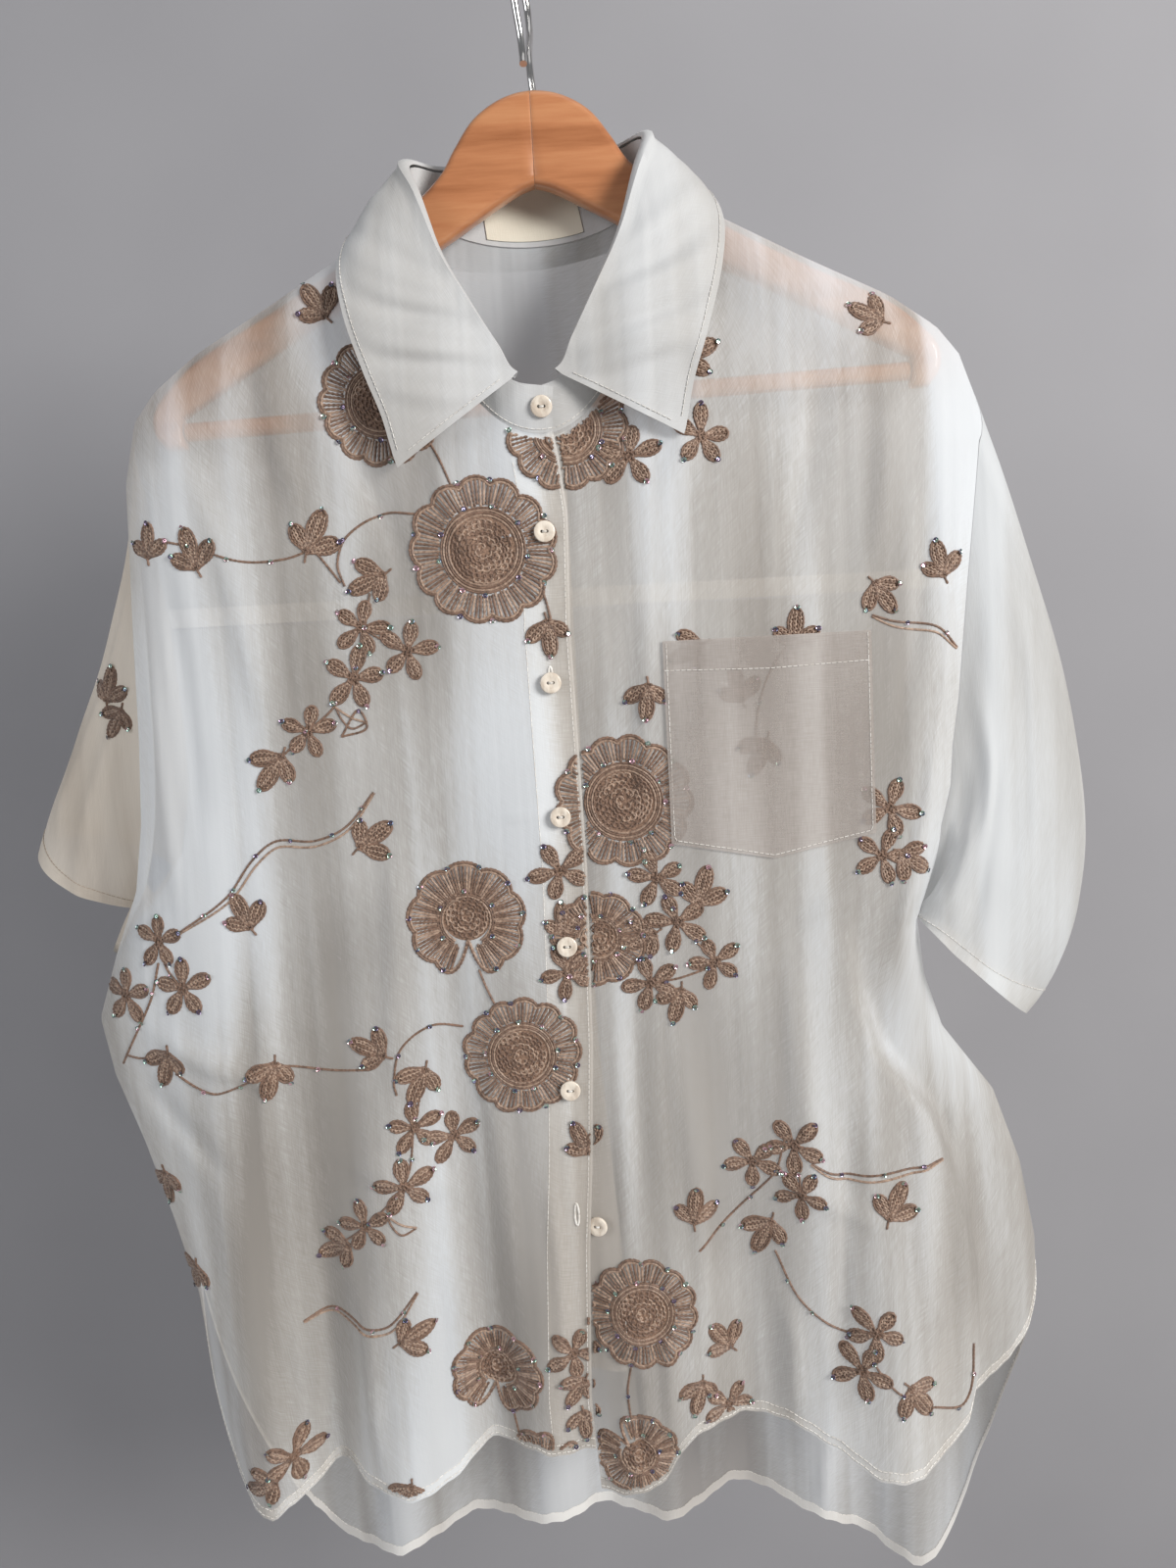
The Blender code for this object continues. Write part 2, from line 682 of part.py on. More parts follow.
def hanger_arm(name, side):
    outline = hanger_outline()
    shape = bmesh.new()
    half = WOOD_THICK / 2
    corners = []
    for out, drop in outline:
        x = max(out * MM, SEAM_HALF)
        z = drop * MM
        corners.append(shape.verts.new((HANGER_X + side * x, -half, WOOD_TOP + z + HANGER_RISE * side * x)))
    face = shape.faces.new(corners)
    made = bmesh.ops.extrude_face_region(shape, geom=[face])
    for vert in [v for v in made["geom"] if isinstance(v, bmesh.types.BMVert)]:
        vert.co.y += WOOD_THICK
    bmesh.ops.recalc_face_normals(shape, faces=shape.faces)
    joint = HANGER_X + side * (SEAM_HALF + 0.2 * MM)
    edges = [
        e
        for e in shape.edges
        if abs(e.verts[0].co.y - e.verts[1].co.y) < 1e-6 and any((v.co.x - joint) * side > 0 for v in e.verts)
    ]
    bmesh.ops.bevel(
        shape, geom=edges, offset=WOOD_EDGE, segments=2, profile=0.5, affect="EDGES", clamp_overlap=True
    )
    mesh = bpy.data.meshes.new(name)
    shape.to_mesh(mesh)
    shape.free()
    mesh.materials.append(material("wood", 0.3))
    mesh.shade_smooth()
    mesh.set_sharp_from_angle(angle=math.radians(35))
    bpy.context.scene.collection.objects.link(bpy.data.objects.new(name, mesh))


def hanger_bar():
    bpy.ops.mesh.primitive_cylinder_add(
        vertices=14, radius=BAR_RADIUS, depth=2 * BAR_HALF, location=(HANGER_X, 0, WOOD_TOP - BAR_DROP),
        rotation=(0, math.pi / 2 - math.atan(HANGER_RISE), 0),
    )
    obj = bpy.context.object
    obj.name = obj.data.name = "hanger_bar"
    obj.data.materials.append(material("wood", 0.3))
    obj.data.shade_smooth()
    obj.data.set_sharp_from_angle(angle=math.radians(40))


def hook():
    # The wire leaves the wood, swings back, runs over the top and comes down in front
    bend = HOOK_INNER + WIRE_RADIUS
    centre = -HOOK_INNER
    route = [(0, WOOD_TOP + 0.4 * MM), (0, WOOD_TOP + 9 * MM), (3 * MM, WOOD_TOP + 19 * MM), (10 * MM, WOOD_TOP + 28 * MM)]
    route += [(17 * MM, WOOD_TOP + 37 * MM)]
    for step in range(13):
        angle = math.radians(-10 + 200 * step / 12)
        route.append((bend * math.cos(angle), centre + bend * math.sin(angle)))
    route += [(-19 * MM, -36 * MM), (-16 * MM, -47 * MM), (-16.5 * MM, -57 * MM), (-19 * MM, -63 * MM)]
    curve = bpy.data.curves.new("hook", "CURVE")
    curve.dimensions = "3D"
    curve.bevel_depth = WIRE_RADIUS
    curve.bevel_resolution = 2
    curve.use_fill_caps = True
    steps = np.linspace(0, len(route) - 1, 2 * len(route) - 1)
    line = curve.splines.new("POLY")
    line.points.add(len(steps) - 1)
    keys = list(range(len(route)))
    for point, step in zip(line.points, steps):
        run = catmull(keys, [r[0] for r in route], step)
        z = catmull(keys, [r[1] for r in route], step)
        x = run * math.cos(HOOK_PLANE) - z * HOOK_LEAN - 1.5 * MM
        point.co = (x, run * math.sin(HOOK_PLANE), z, 1)
    curve.materials.append(material("wire", 0.25, 1.0))
    bpy.context.scene.collection.objects.link(bpy.data.objects.new("hook", curve))


def build():
    clear_scene()

    lap_front = half_panel(LEFT, FRONT, FRONT_LEVELS, TOP_PARTS, HEM_STEPS)
    under_front = half_panel(RIGHT, FRONT, FRONT_LEVELS, TOP_PARTS, HEM_STEPS)
    yoke = both_halves(*(half_panel(side, BACK, YOKE_LEVELS, TOP_PARTS, 0) for side in (LEFT, RIGHT)))
    back = both_halves(*(half_panel(side, BACK, BACK_LEVELS, (), HEM_STEPS) for side in (LEFT, RIGHT)))
    for grid, row, toward in ((yoke, -1, -2), (back, 0, 1)):
        trim_row(grid, row, toward, YOKE_SEAM_HALF)

    cloth("front_right", lap_front, CLOTH, "embroidered_cloth")
    cloth("front_left", under_front, CLOTH, "embroidered_cloth")
    cloth("yoke", yoke, CLOTH, "plain_cloth")
    cloth("back", back, CLOTH, "plain_cloth")

    last = next(i for i in range(len(under_front)) if under_front[i, 0, 2] < UNDER_BAND_END)
    cloth("buttonhole_band", band_grid(lap_front, 3, len(lap_front)), BAND_CLOTH, "plain_cloth")
    cloth("button_band", band_grid(under_front, 3, last + 1), BAND_CLOTH, "plain_cloth")

    for name, side, front, cuff, pull in (
        ("sleeve_left", RIGHT, under_front, CUFF_LEFT_SLEEVE, PULL_LEFT_SLEEVE),
        ("sleeve_right", LEFT, lap_front, CUFF_RIGHT_SLEEVE, PULL_RIGHT_SLEEVE),
    ):
        column = -1 if side == RIGHT else 0
        before = armhole_edge(front, -1, side)
        behind = np.concatenate([armhole_edge(yoke, column, side), armhole_edge(back, column, side)[1:]])
        loop = list(before) + list(behind[::-1][1:-1])
        cloth(name, sleeve_grid(loop, len(before), cuff, pull), CLOTH, "plain_cloth", ring=True)

    stand = stand_grid(lap_front[0], yoke[0], under_front[0][::-1])
    cloth("collar_stand", stand, STAND_CLOTH, "collar_cloth")
    cloth("collar_leaf", leaf_grid(), LEAF_CLOTH, "collar_cloth")
    cloth("pocket", pocket_grid(under_front), CLOTH, "pocket_cloth")

    row = stand[1]
    middle = [i for i in range(len(row)) if row[i, 1] > 0 and LABEL_LEFT < row[i, 0] < LABEL_RIGHT]
    patch = stand[1:, middle].copy()
    patch[:, :, 1] -= STAND_CLOTH / 2 + BAND_CLOTH / 2 + LAYER_GAP
    patch[-1] = patch[-2] + (patch[-1] - patch[-2]) * 0.8
    cloth("neck_label", patch, BAND_CLOTH, "label_cloth")

    spot, facing = panel_spot(stand[:, :8], *(stand[1:3, :2].mean(axis=(0, 1))[[0, 2]]))
    button("button_1", spot + facing * (STAND_CLOTH / 2 + LAYER_GAP), facing)
    for number, height in enumerate(BUTTON_HEIGHTS, 2):
        z = height * MM
        spot, facing = panel_spot(lap_front, read(EDGES, "lap", z) - BAND_WIDE / 2, z)
        button(f"button_{number}", spot + facing * (CLOTH / 2 + LAYER_GAP), facing)
    spot, facing = panel_spot(under_front, LAST_BUTTON_X, LAST_BUTTON_Z)
    button("button_7", spot + facing * (CLOTH / 2 + 2 * LAYER_GAP), facing)

    hanger_arm("hanger_arm_left", LEFT)
    hanger_arm("hanger_arm_right", RIGHT)
    hanger_bar()
    hook()


build()
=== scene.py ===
import math

import bpy
import numpy as np
from mathutils import Matrix, Vector


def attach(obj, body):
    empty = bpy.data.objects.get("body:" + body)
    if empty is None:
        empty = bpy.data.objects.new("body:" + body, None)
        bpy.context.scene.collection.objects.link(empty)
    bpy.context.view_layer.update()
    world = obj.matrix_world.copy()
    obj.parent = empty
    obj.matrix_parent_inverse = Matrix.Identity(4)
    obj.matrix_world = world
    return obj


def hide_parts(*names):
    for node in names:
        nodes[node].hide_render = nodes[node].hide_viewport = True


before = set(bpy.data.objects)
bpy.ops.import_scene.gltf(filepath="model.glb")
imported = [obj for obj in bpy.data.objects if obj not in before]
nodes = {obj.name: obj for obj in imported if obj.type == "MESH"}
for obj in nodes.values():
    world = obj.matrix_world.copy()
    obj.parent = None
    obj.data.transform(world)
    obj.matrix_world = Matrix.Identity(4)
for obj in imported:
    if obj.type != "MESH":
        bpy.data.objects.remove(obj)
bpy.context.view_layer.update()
mm = 0.001
left, right = -1, 1
front, back = "front", "back"
chance = np.random.default_rng(11)

# The body's form, the same tables as the CAD source, in millimetres
hanger = {"woodTop": -69, "x": 3, "rise": 0.03, "clothOver": 3.4}
shoulder = ((52, 42), (65, 51), (100, 75), (144, 99), (189, 122), (214, 140), (226, 155))
sides = np.array((
    (-260, 231, 246), (-341, 236, 243), (-400, 239, 238), (-448, 243, 230), (-487, 250, 214),
    (-525, 266, 200), (-561, 279, 205), (-595, 274, 216), (-636, 261, 246), (-682, 249, 262),
    (-731, 238, 271), (-790, 234, 273), (-846, 228, 262), (-900, 222, 254), (-1000, 214, 252),
), float)
sections = np.array((
    (-90, 20, 12, 11), (-112, 32, 13, 12), (-140, 66, 16, 14), (-170, 112, 19, 16), (-200, 148, 23, 18),
    (-238, 176, 27, 20), (-262, 180, 29, 21), (-340, 180, 31, 24), (-440, 180, 34, 29), (-540, 180, 38, 33),
    (-700, 180, 43, 38), (-850, 180, 47, 43), (-1000, 180, 50, 46),
), float)
flatFull = 180
# Each fold: x at its top, x at the hem, half width, depth towards the back, z where it starts
frontFolds = (
    (-205, -192, 22, -15, -420), (-150, -154, 13, 17, -560), (-112, -108, 22, -13, -500),
    (-70, -62, 18, 13, -380),
    (-30, -28, 14, -5, -600), (28, 24, 20, -11, -520), (80, 92, 26, 14, -460), (165, 172, 26, -16, -540),
)
backFolds = (
    (-190, -196, 20, 10, -430), (-140, -135, 24, -17, -480), (-88, -84, 18, 12, -420),
    (-40, -36, 18, -7, -520),
    (4, 0, 16, 9, -360), (48, 44, 16, -9, -520), (92, 95, 24, 16, -440), (150, 146, 17, -6, -560),
    (196, 205, 24, -20, -600),
)
tuck = {"in": 45, "depth": 20, "run": 12, "start": -500, "full": -600}
# Where the folds are full, where the cloth over the wood lies calm, and how the lap's lift fades inwards
hang = {"foldsFull": -850, "calmEnd": -118, "calmRun": 60, "liftFrom": 26, "liftRun": 34}
neck = {"x": -1, "half": 63, "side": -110, front: -247, back: -141, "clear": 3}
edges = np.array((
    (-230, 3, -13), (-262, 8, -14), (-290, 11, -15), (-350, 9, -15), (-480, 11, -15),
    (-580, 9, -14), (-650, 5, -10), (-700, 1, -7), (-790, -3, -4), (-880, 0, 1),
), float)
laps = np.array(((-230, 3.4), (-560, 3.6), (-690, 7.5), (-860, 9)), float)
bandWide = {left: 25, right: 26}
hems = {
    (left, front): (
        (-0.08, -820), (0.12, -824), (0.24, -822), (0.34, -822), (0.46, -834), (0.60, -840),
        (0.72, -838), (0.84, -832),
        (0.94, -838), (1.10, -846), (1.30, -842), (1.50, -826), (1.70, -800), (1.86, -766), (2.0, -735),
    ),
    (right, front): (
        (-0.1, -853), (0.12, -852), (0.2, -846), (0.28, -826), (0.45, -816), (0.62, -818), (0.76, -830),
        (0.88, -842),
        (0.98, -844), (1.12, -838), (1.30, -822), (1.50, -806), (1.75, -782), (2.0, -752),
    ),
    (left, back): (
        (0.0, -941), (0.2, -943), (0.4, -944), (0.6, -946), (0.8, -952), (1.0, -950), (1.2, -938),
        (1.4, -912),
        (1.6, -868), (1.8, -810), (2.0, -735),
    ),
    (right, back): (
        (0.0, -941), (0.25, -944), (0.5, -936), (0.7, -944), (0.9, -958), (1.1, -972), (1.3, -974),
        (1.45, -955),
        (1.6, -915), (1.8, -842), (2.0, -752),
    ),
}
# How far each panel runs round the side, in degrees: z, then front right, back right, front left, back left
armholes = np.array((
    (-232, 90, 90, 90, 90), (-262, 56, 60, 103, 62), (-339, 47, 52, 109, 47), (-426, 42, 48, 110, 43),
    (-470, 46, 50, 107, 48), (-495, 62, 64, 101, 62), (-525, 90, 90, 90, 90),
), float)
armholeColumn = {(right, front): 1, (right, back): 2, (left, front): 3, (left, back): 4}

# How a crease runs: its gain, its wander, where it swells and fades, and its steeper flank
creaseShape = {"gain": 2.0, "wander": 0.16, "bends": 7, "swell": 0.35, "fade": 0.4, "steep": 0.72}
# Creases one by one: x and z of both ends, half width, height towards the viewer of that side
frontCreases = (
    (-150, -176, -128, -300, 9, 1.6), (-118, -190, -70, -340, 8, -1.5), (-190, -236, -150, -420, 10, 1.7),
    (-208, -300, -196, -470, 7, -1.6), (-226, -330, -214, -520, 6, 1.8), (-60, -250, -40, -330, 6, 1.1),
    (-250, -560, -150, -600, 8, 2.2), (-255, -585, -190, -660, 8, -2.0), (-236, -640, -214, -780, 8, 2.0),
    (-170, -500, -182, -700, 9, 1.8), (-95, -430, -104, -640, 8, 1.5), (-52, -560, -44, -760, 7, 1.4),
    (-132, -700, -126, -838, 7, 2.0), (-88, -690, -84, -835, 6, -2.1), (-20, -640, -16, -815, 6, 1.7),
    (-178, -730, -172, -840, 7, -1.8), (-205, -760, -202, -840, 6, 1.6),
    (-34, -298, -6, -304, 3, 0.5), (-36, -452, -8, -449, 3, 0.45), (-34, -607, -6, -612, 3.5, 0.6),
    (98, -168, 60, -300, 8, 1.5), (150, -196, 128, -340, 9, -1.4), (186, -226, 168, -350, 9, 1.6),
    (206, -268, 186, -430, 7, -1.5), (212, -400, 176, -560, 8, 1.9), (202, -480, 120, -520, 8, 1.7),
    (50, -300, 44, -480, 6, 1.0), (34, -540, 30, -700, 7, -1.4), (122, -520, 128, -700, 9, 1.6),
    (60, -560, 66, -790, 8, 1.7), (150, -600, 142, -800, 7, -1.9), (188, -600, 196, -780, 8, 1.9),
    (112, -730, 116, -828, 6, 1.9), (46, -740, 40, -830, 6, 2.0), (20, -760, 26, -846, 4, -1.6),
    (215, -620, 222, -720, 6, 1.6), (95, -660, 180, -700, 8, 1.1), (-140, -640, -60, -668, 8, 1.0),
)
backCreases = (
    (-160, -190, -120, -330, 10, 1.6), (150, -180, 110, -330, 10, 1.6), (-60, -170, -30, -330, 8, 1.2),
    (40, -160, 60, -330, 8, -1.2), (-205, -380, -170, -560, 9, 2.0), (205, -380, 180, -520, 8, 2.0),
    (-120, -420, -116, -700, 9, 1.9), (-62, -400, -66, -640, 8, -1.7), (20, -380, 24, -620, 8, 1.7),
    (70, -420, 72, -720, 9, 1.8), (128, -440, 124, -700, 8, -1.8), (-230, -560, -150, -620, 9, 2.0),
    (-180, -650, -176, -880, 8, 2.0), (-104, -700, -110, -930, 7, 2.2), (-30, -690, -24, -930, 7, 1.9),
    (30, -720, 26, -935, 6, -1.9), (110, -720, 118, -930, 8, 2.1), (176, -680, 184, -930, 8, 2.2),
    (232, -700, 226, -900, 7, 2.0), (-216, -700, -208, -880, 7, -1.8), (60, -840, 56, -938, 5, 1.8),
    (-70, -850, -66, -944, 5, 1.8), (150, -860, 146, -960, 5, -1.8), (-150, -860, -152, -945, 6, 1.6),
)


def upwards(rows):
    return rows[np.argsort(rows[:, 0])]


def table(rows, column, at):
    # Rows run upwards in their first column
    return np.interp(at, rows[:, 0], rows[:, column])


sides, sections, edges, laps, armholes = (upwards(rows) for rows in (sides, sections, edges, laps, armholes))


def ease(value):
    value = np.clip(value, 0, 1)
    return value * value * (3 - 2 * value)


def reachTable(side):
    over = hanger["woodTop"] + hanger["clothOver"]
    rows = [(over - drop + hanger["rise"] * side * out, out + side * hanger["x"]) for out, drop in shoulder]
    rows += [(row[0], row[1 if side == left else 2]) for row in sides]
    return upwards(np.array(rows, float))


reaches = {side: reachTable(side) for side in (left, right)}


def reach(side, z):
    return table(reaches[side], 1, z)


def foldDepth(face, x, z):
    total = np.zeros(np.broadcast(x, z).shape)
    for xTop, xHem, width, depth, start in frontFolds if face == front else backFolds:
        grown = ease((start - z) / (start - hang["foldsFull"]))
        middle = xTop + (xHem - xTop) * grown
        total += depth * grown * np.exp(-(((x - middle) / width) ** 2))
    return total


def creaseHeight(face, x, z):
    # Each crease swells and fades along its line, and its far flank is steeper
    total = np.zeros(np.broadcast(x, z).shape)
    for x0, z0, x1, z1, width, height in frontCreases if face == front else backCreases:
        run = np.array((x1 - x0, z1 - z0), float)
        length = np.hypot(*run)
        run /= length
        part = ((x - x0) * run[0] + (z - z0) * run[1]) / length
        wander = creaseShape["wander"] * width * np.sin(part * creaseShape["bends"] + x0)
        across = (x - x0) * run[1] - (z - z0) * run[0] + wander
        swell = ease(part / creaseShape["swell"]) * ease((1 - part) / creaseShape["fade"])
        flank = np.where(across > 0, width * creaseShape["steep"], width)
        total += height * swell * np.exp(-((across / flank) ** 2))
    return total


# Slight unevenness of hanging cloth: heights, and where the fine one grows
rippleSizes = {"soft": 0.45, "fine": 0.35, "least": 0.35, "growsFrom": -300, "growsOver": 350, "shift": 2.1}


def ripple(face, x, z):
    shift = 0.0 if face == front else rippleSizes["shift"]
    soft = np.sin(x / 23 + z / 61 + shift) * np.sin(z / 47 - x / 71 + 1.3 * shift)
    fine = np.sin(x / 9.5 + 2.2 * np.sin(z / 53) + shift) * np.sin(z / 83 + x / 37)
    grown = rippleSizes["least"] + ease((rippleSizes["growsFrom"] - z) / rippleSizes["growsOver"])
    return rippleSizes["soft"] * soft + rippleSizes["fine"] * fine * grown


def faceDepth(side, face, x, z, turned):
    # y at a distance x out from the middle; turned is how far past the side the cloth runs, as a cosine
    outward = -1 if face == front else 1
    before = (turned >= 0) if face == front else (turned < 0)
    radius = np.where(before, table(sections, 2, z), table(sections, 3, z))
    facingPart = np.maximum(turned, 0)
    lift = creaseHeight(face, side * x, z) * creaseShape["gain"] + ripple(face, side * x, z)
    calm = ease((hang["calmEnd"] - z) / hang["calmRun"])
    y = outward * radius * turned + (foldDepth(face, side * x, z) + outward * lift * calm) * facingPart
    if face == front and side == right:
        grown = ease((tuck["start"] - z) / (tuck["start"] - tuck["full"]))
        start = reach(side, z) - tuck["in"] - tuck["run"] / 2
        y = y + tuck["depth"] * grown * ease((x - start) / tuck["run"]) * facingPart
        y = y + table(laps, 1, z) * (1 - ease((x - hang["liftFrom"]) / hang["liftRun"])) * facingPart
    return y


def bodyPoint(side, face, z, across, turn):
    flat = table(sections, 1, z)
    angle = np.radians(turn)
    x = across / flatFull * flat + (reach(side, z) - flat) * np.sin(angle)
    y = faceDepth(side, face, x, z, np.cos(angle))
    return np.stack([side * x, y, z + 0 * x], axis=-1) * mm


def frontSurface(side, x, z):
    # The front's y, in millimetres, at world x and z
    flat = table(sections, 1, z)
    out = (side * x - flat) / (reach(side, z) - flat)
    turned = np.sqrt(1 - np.clip(out, 0, 0.999) ** 2)
    return faceDepth(side, front, side * x, z, turned)


def neckHeight(side, face, across, turn):
    low, high = neck[face], neck["side"]
    for _ in range(30):
        middle = (low + high) / 2
        down = min(max((neck["side"] - middle) / (neck["side"] - neck[face]), 0), 1)
        half = neck["half"] * math.sqrt(1 - down * down)
        flat = table(sections, 1, middle)
        past = (reach(side, middle) - flat) * math.sin(math.radians(turn(middle)))
        x = side * (across(middle) / flatFull * flat + past)
        if abs(x - neck["x"]) > half:
            low = middle
        else:
            high = middle
    return low


def hermite(t, run, start, leave, end, arrive):
    # A smooth value between two, from their slopes
    return (
        (2 * t**3 - 3 * t**2 + 1) * start
        + (t**3 - 2 * t**2 + t) * run * leave
        + (3 * t**2 - 2 * t**3) * end
        + (t**3 - t**2) * run * arrive
    )


def smoothTable(rows, at):
    # A smooth curve through the rows of a short table
    keys, values = np.array(rows, float).T
    slopes = np.gradient(values, keys)
    at = min(max(at, keys[0]), keys[-1])
    i = min(max(int(np.searchsorted(keys, at)) - 1, 0), len(keys) - 2)
    run = keys[i + 1] - keys[i]
    return hermite((at - keys[i]) / run, run, values[i], slopes[i], values[i + 1], slopes[i + 1])


# How far out each placket's line still shifts the columns, the heights where it and the hem are measured,
# and the waves of the hem's pucker
panelSizes = {left: 40, right: 36, "edgeAt": -480, "hemAt": -830, "waves": (61, 23)}


def panel(side, face, levels, topSteps, hemSteps, sizes):
    # Half a panel as a grid of points: columns from the middle outwards, rows downwards
    # A column has its distance across at a height, its turn round the side, and its part of that turn
    def placket(z):
        return side * table(edges, 1 if side == left else 2, z)

    def straight(z):
        return 0.0

    columns = []
    if face == front:
        wide = bandWide[side]
        for step in np.linspace(0, 1, sizes["bandColumns"]):
            columns.append((lambda z, s=step: placket(z) + s * wide, straight, None))
        start = placket(panelSizes["edgeAt"]) + wide
        for flat in np.linspace(start, flatFull, sizes["flatColumns"])[1:]:
            share = max(0, (panelSizes[side] - flat) / (panelSizes[side] - start))
            columns.append((lambda z, f=flat, s=share: f + (placket(z) + wide - start) * s, straight, None))
    else:
        for flat in np.linspace(0, flatFull, sizes["flatColumns"]):
            columns.append((lambda z, f=flat: f, straight, None))
    for part in np.linspace(0, 1, sizes["arcColumns"])[1:]:
        turn = lambda z, p=part: p * (table(armholes, armholeColumn[side, face], z) - sizes["seam"])
        columns.append((lambda z: flatFull, turn, part))
    grid = []
    for across, turn, part in columns:
        heights = list(levels)
        if topSteps:
            top = neckHeight(side, face, across, turn)
            heights = list(np.linspace(top, heights[0], topSteps + 1)[:-1]) + heights
        if hemSteps:
            place = across(panelSizes["hemAt"]) / flatFull if part is None else 1 + part
            foot = smoothTable(hems[side, face], place)
            first, second = panelSizes["waves"]
            foot += sizes["pucker"] * math.sin(place * first + side) * math.sin(place * second)
            heights += list(np.linspace(heights[-1], foot, hemSteps + 1)[1:])
        z = np.array(heights)
        acrosses = np.array([across(v) for v in z])
        turns = np.array([turn(v) for v in z])
        grid.append(bodyPoint(side, face, z, acrosses, turns))
    return np.array(grid).transpose(1, 0, 2)


def gridNormals(grid, ring=False):
    # Unit normals of a grid, which each piece turns its own way
    if ring:
        across = np.roll(grid, -1, axis=1) - np.roll(grid, 1, axis=1)
    else:
        across = np.gradient(grid, axis=1)
    down = np.gradient(grid, axis=0)
    normal = np.cross(across, down)
    return normal / np.maximum(np.linalg.norm(normal, axis=-1, keepdims=True), 1e-12)


def outwardNormals(ring):
    # Unit normals of a sleeve, away from its middle
    normals = gridNormals(ring, True)
    centre = ring.mean(axis=1, keepdims=True)
    return normals * np.sign((normals * (ring - centre)).sum(-1).mean())


def toward(normals, y):
    return normals * np.where(normals[..., 1:2] * y < 0, -1, 1)


def sheetMesh(name, grid, finish, ring=False, thickness=0.0):
    rows, columns = grid.shape[:2]
    span = columns if ring else columns - 1
    r, c = np.meshgrid(np.arange(rows - 1), np.arange(span), indexing="ij")
    upper, lower, onward = r * columns, (r + 1) * columns, (c + 1) % columns
    faces = np.stack((upper + c, upper + onward, lower + onward, lower + c), -1).reshape(-1, 4)
    mesh = bpy.data.meshes.new(name)
    mesh.from_pydata(grid.reshape(-1, 3).tolist(), [], faces.tolist())
    # UVs in metres of cloth: u across, v down
    across = np.linalg.norm(np.diff(grid, axis=1, append=grid[:, :1] if ring else grid[:, -1:]), axis=-1)
    down = np.linalg.norm(np.diff(grid, axis=0, append=grid[-1:]), axis=-1)
    u = np.concatenate([np.zeros((rows, 1)), np.cumsum(across, axis=1)], axis=1)
    v = np.concatenate([np.zeros((1, columns)), np.cumsum(down, axis=0)[:-1]], axis=0)
    v = np.concatenate([v, v[:, :1]], axis=1)
    quads = np.stack([(r, c), (r, c + 1), (r + 1, c + 1), (r + 1, c)]).transpose(2, 3, 0, 1).reshape(-1, 4, 2)
    layer = mesh.uv_layers.new(name="cloth")
    flatUv = np.stack([u[quads[..., 0], quads[..., 1]], v[quads[..., 0], quads[..., 1]]], -1).reshape(-1)
    layer.data.foreach_set("uv", flatUv.astype(np.float32))
    mesh.materials.append(finish)
    mesh.shade_smooth()
    obj = bpy.data.objects.new(name, mesh)
    bpy.context.scene.collection.objects.link(obj)
    if thickness:
        wall = obj.modifiers.new("wall", "SOLIDIFY")
        wall.thickness = thickness * mm
        wall.offset = 0
        bpy.context.view_layer.objects.active = obj
        bpy.ops.object.modifier_apply(modifier="wall")
        obj.data.set_sharp_from_angle(angle=math.radians(45))
    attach(obj, "root")
    return obj


def loose(name, points, faces, finish):
    mesh = bpy.data.meshes.new(name)
    mesh.from_pydata(np.asarray(points).tolist(), [], [list(map(int, f)) for f in faces])
    mesh.materials.append(finish)
    mesh.shade_smooth()
    obj = bpy.data.objects.new(name, mesh)
    bpy.context.scene.collection.objects.link(obj)
    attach(obj, "root")
    return obj


# Materials
def newMaterial(name):
    made = bpy.data.materials.new(name)
    made.use_nodes = True
    tree = made.node_tree
    tree.nodes.clear()
    output = tree.nodes.new("ShaderNodeOutputMaterial")
    return made, tree, output


def addNode(tree, kind, values=None, links=None):
    made = tree.nodes.new(kind)
    for key, value in (values or {}).items():
        if isinstance(key, int) or key in made.inputs:
            made.inputs[key].default_value = value
        else:
            setattr(made, key, value)
    for key, source in (links or {}).items():
        tree.links.new(source, made.inputs[key])
    return made


def ramp(tree, source, stops):
    made = tree.nodes.new("ShaderNodeValToRGB")
    tree.links.new(source, made.inputs["Fac"])
    elements = made.color_ramp.elements
    while len(elements) < len(stops):
        elements.new(0.5)
    for element, (place, colour) in zip(elements, stops):
        element.position = place
        element.color = (*colour, 1)
    return made.outputs["Color"]


def noiseOf(tree, place, stretch, values):
    moved = addNode(tree, "ShaderNodeMapping", {"Scale": stretch}, {"Vector": place})
    return addNode(tree, "ShaderNodeTexNoise", values, {"Vector": moved.outputs[0]}).outputs["Fac"]


def bumpOf(tree, height, strength, distance, normal=None):
    made = addNode(tree, "ShaderNodeBump", {"Strength": strength, "Distance": distance}, {"Height": height})
    if normal is not None:
        tree.links.new(normal, made.inputs["Normal"])
    return made.outputs["Normal"]


# The cloth's noises: stretch along x, y and z, detail, and share of the tone
clothNoises = {
    "bands": ((23, 9, 1.5), 1.2, 0.46),
    "streaks": ((95, 30, 3.2), 1.0, 0.11),
    "clouds": ((9, 9, 3.4), 1.5, 0.41),
}
clothSizes = {
    "warp": (1500, 110, 1), "weft": (110, 1500, 1), "weaveShare": 0.12, "weaveDeep": 0.0003,
    "bandsDeep": 0.012, "streaksDeep": 0.004, "streaksShare": 0.6,
    "holesFrom": 0.42, "holesTo": 0.62, "holes": 0.10,
}


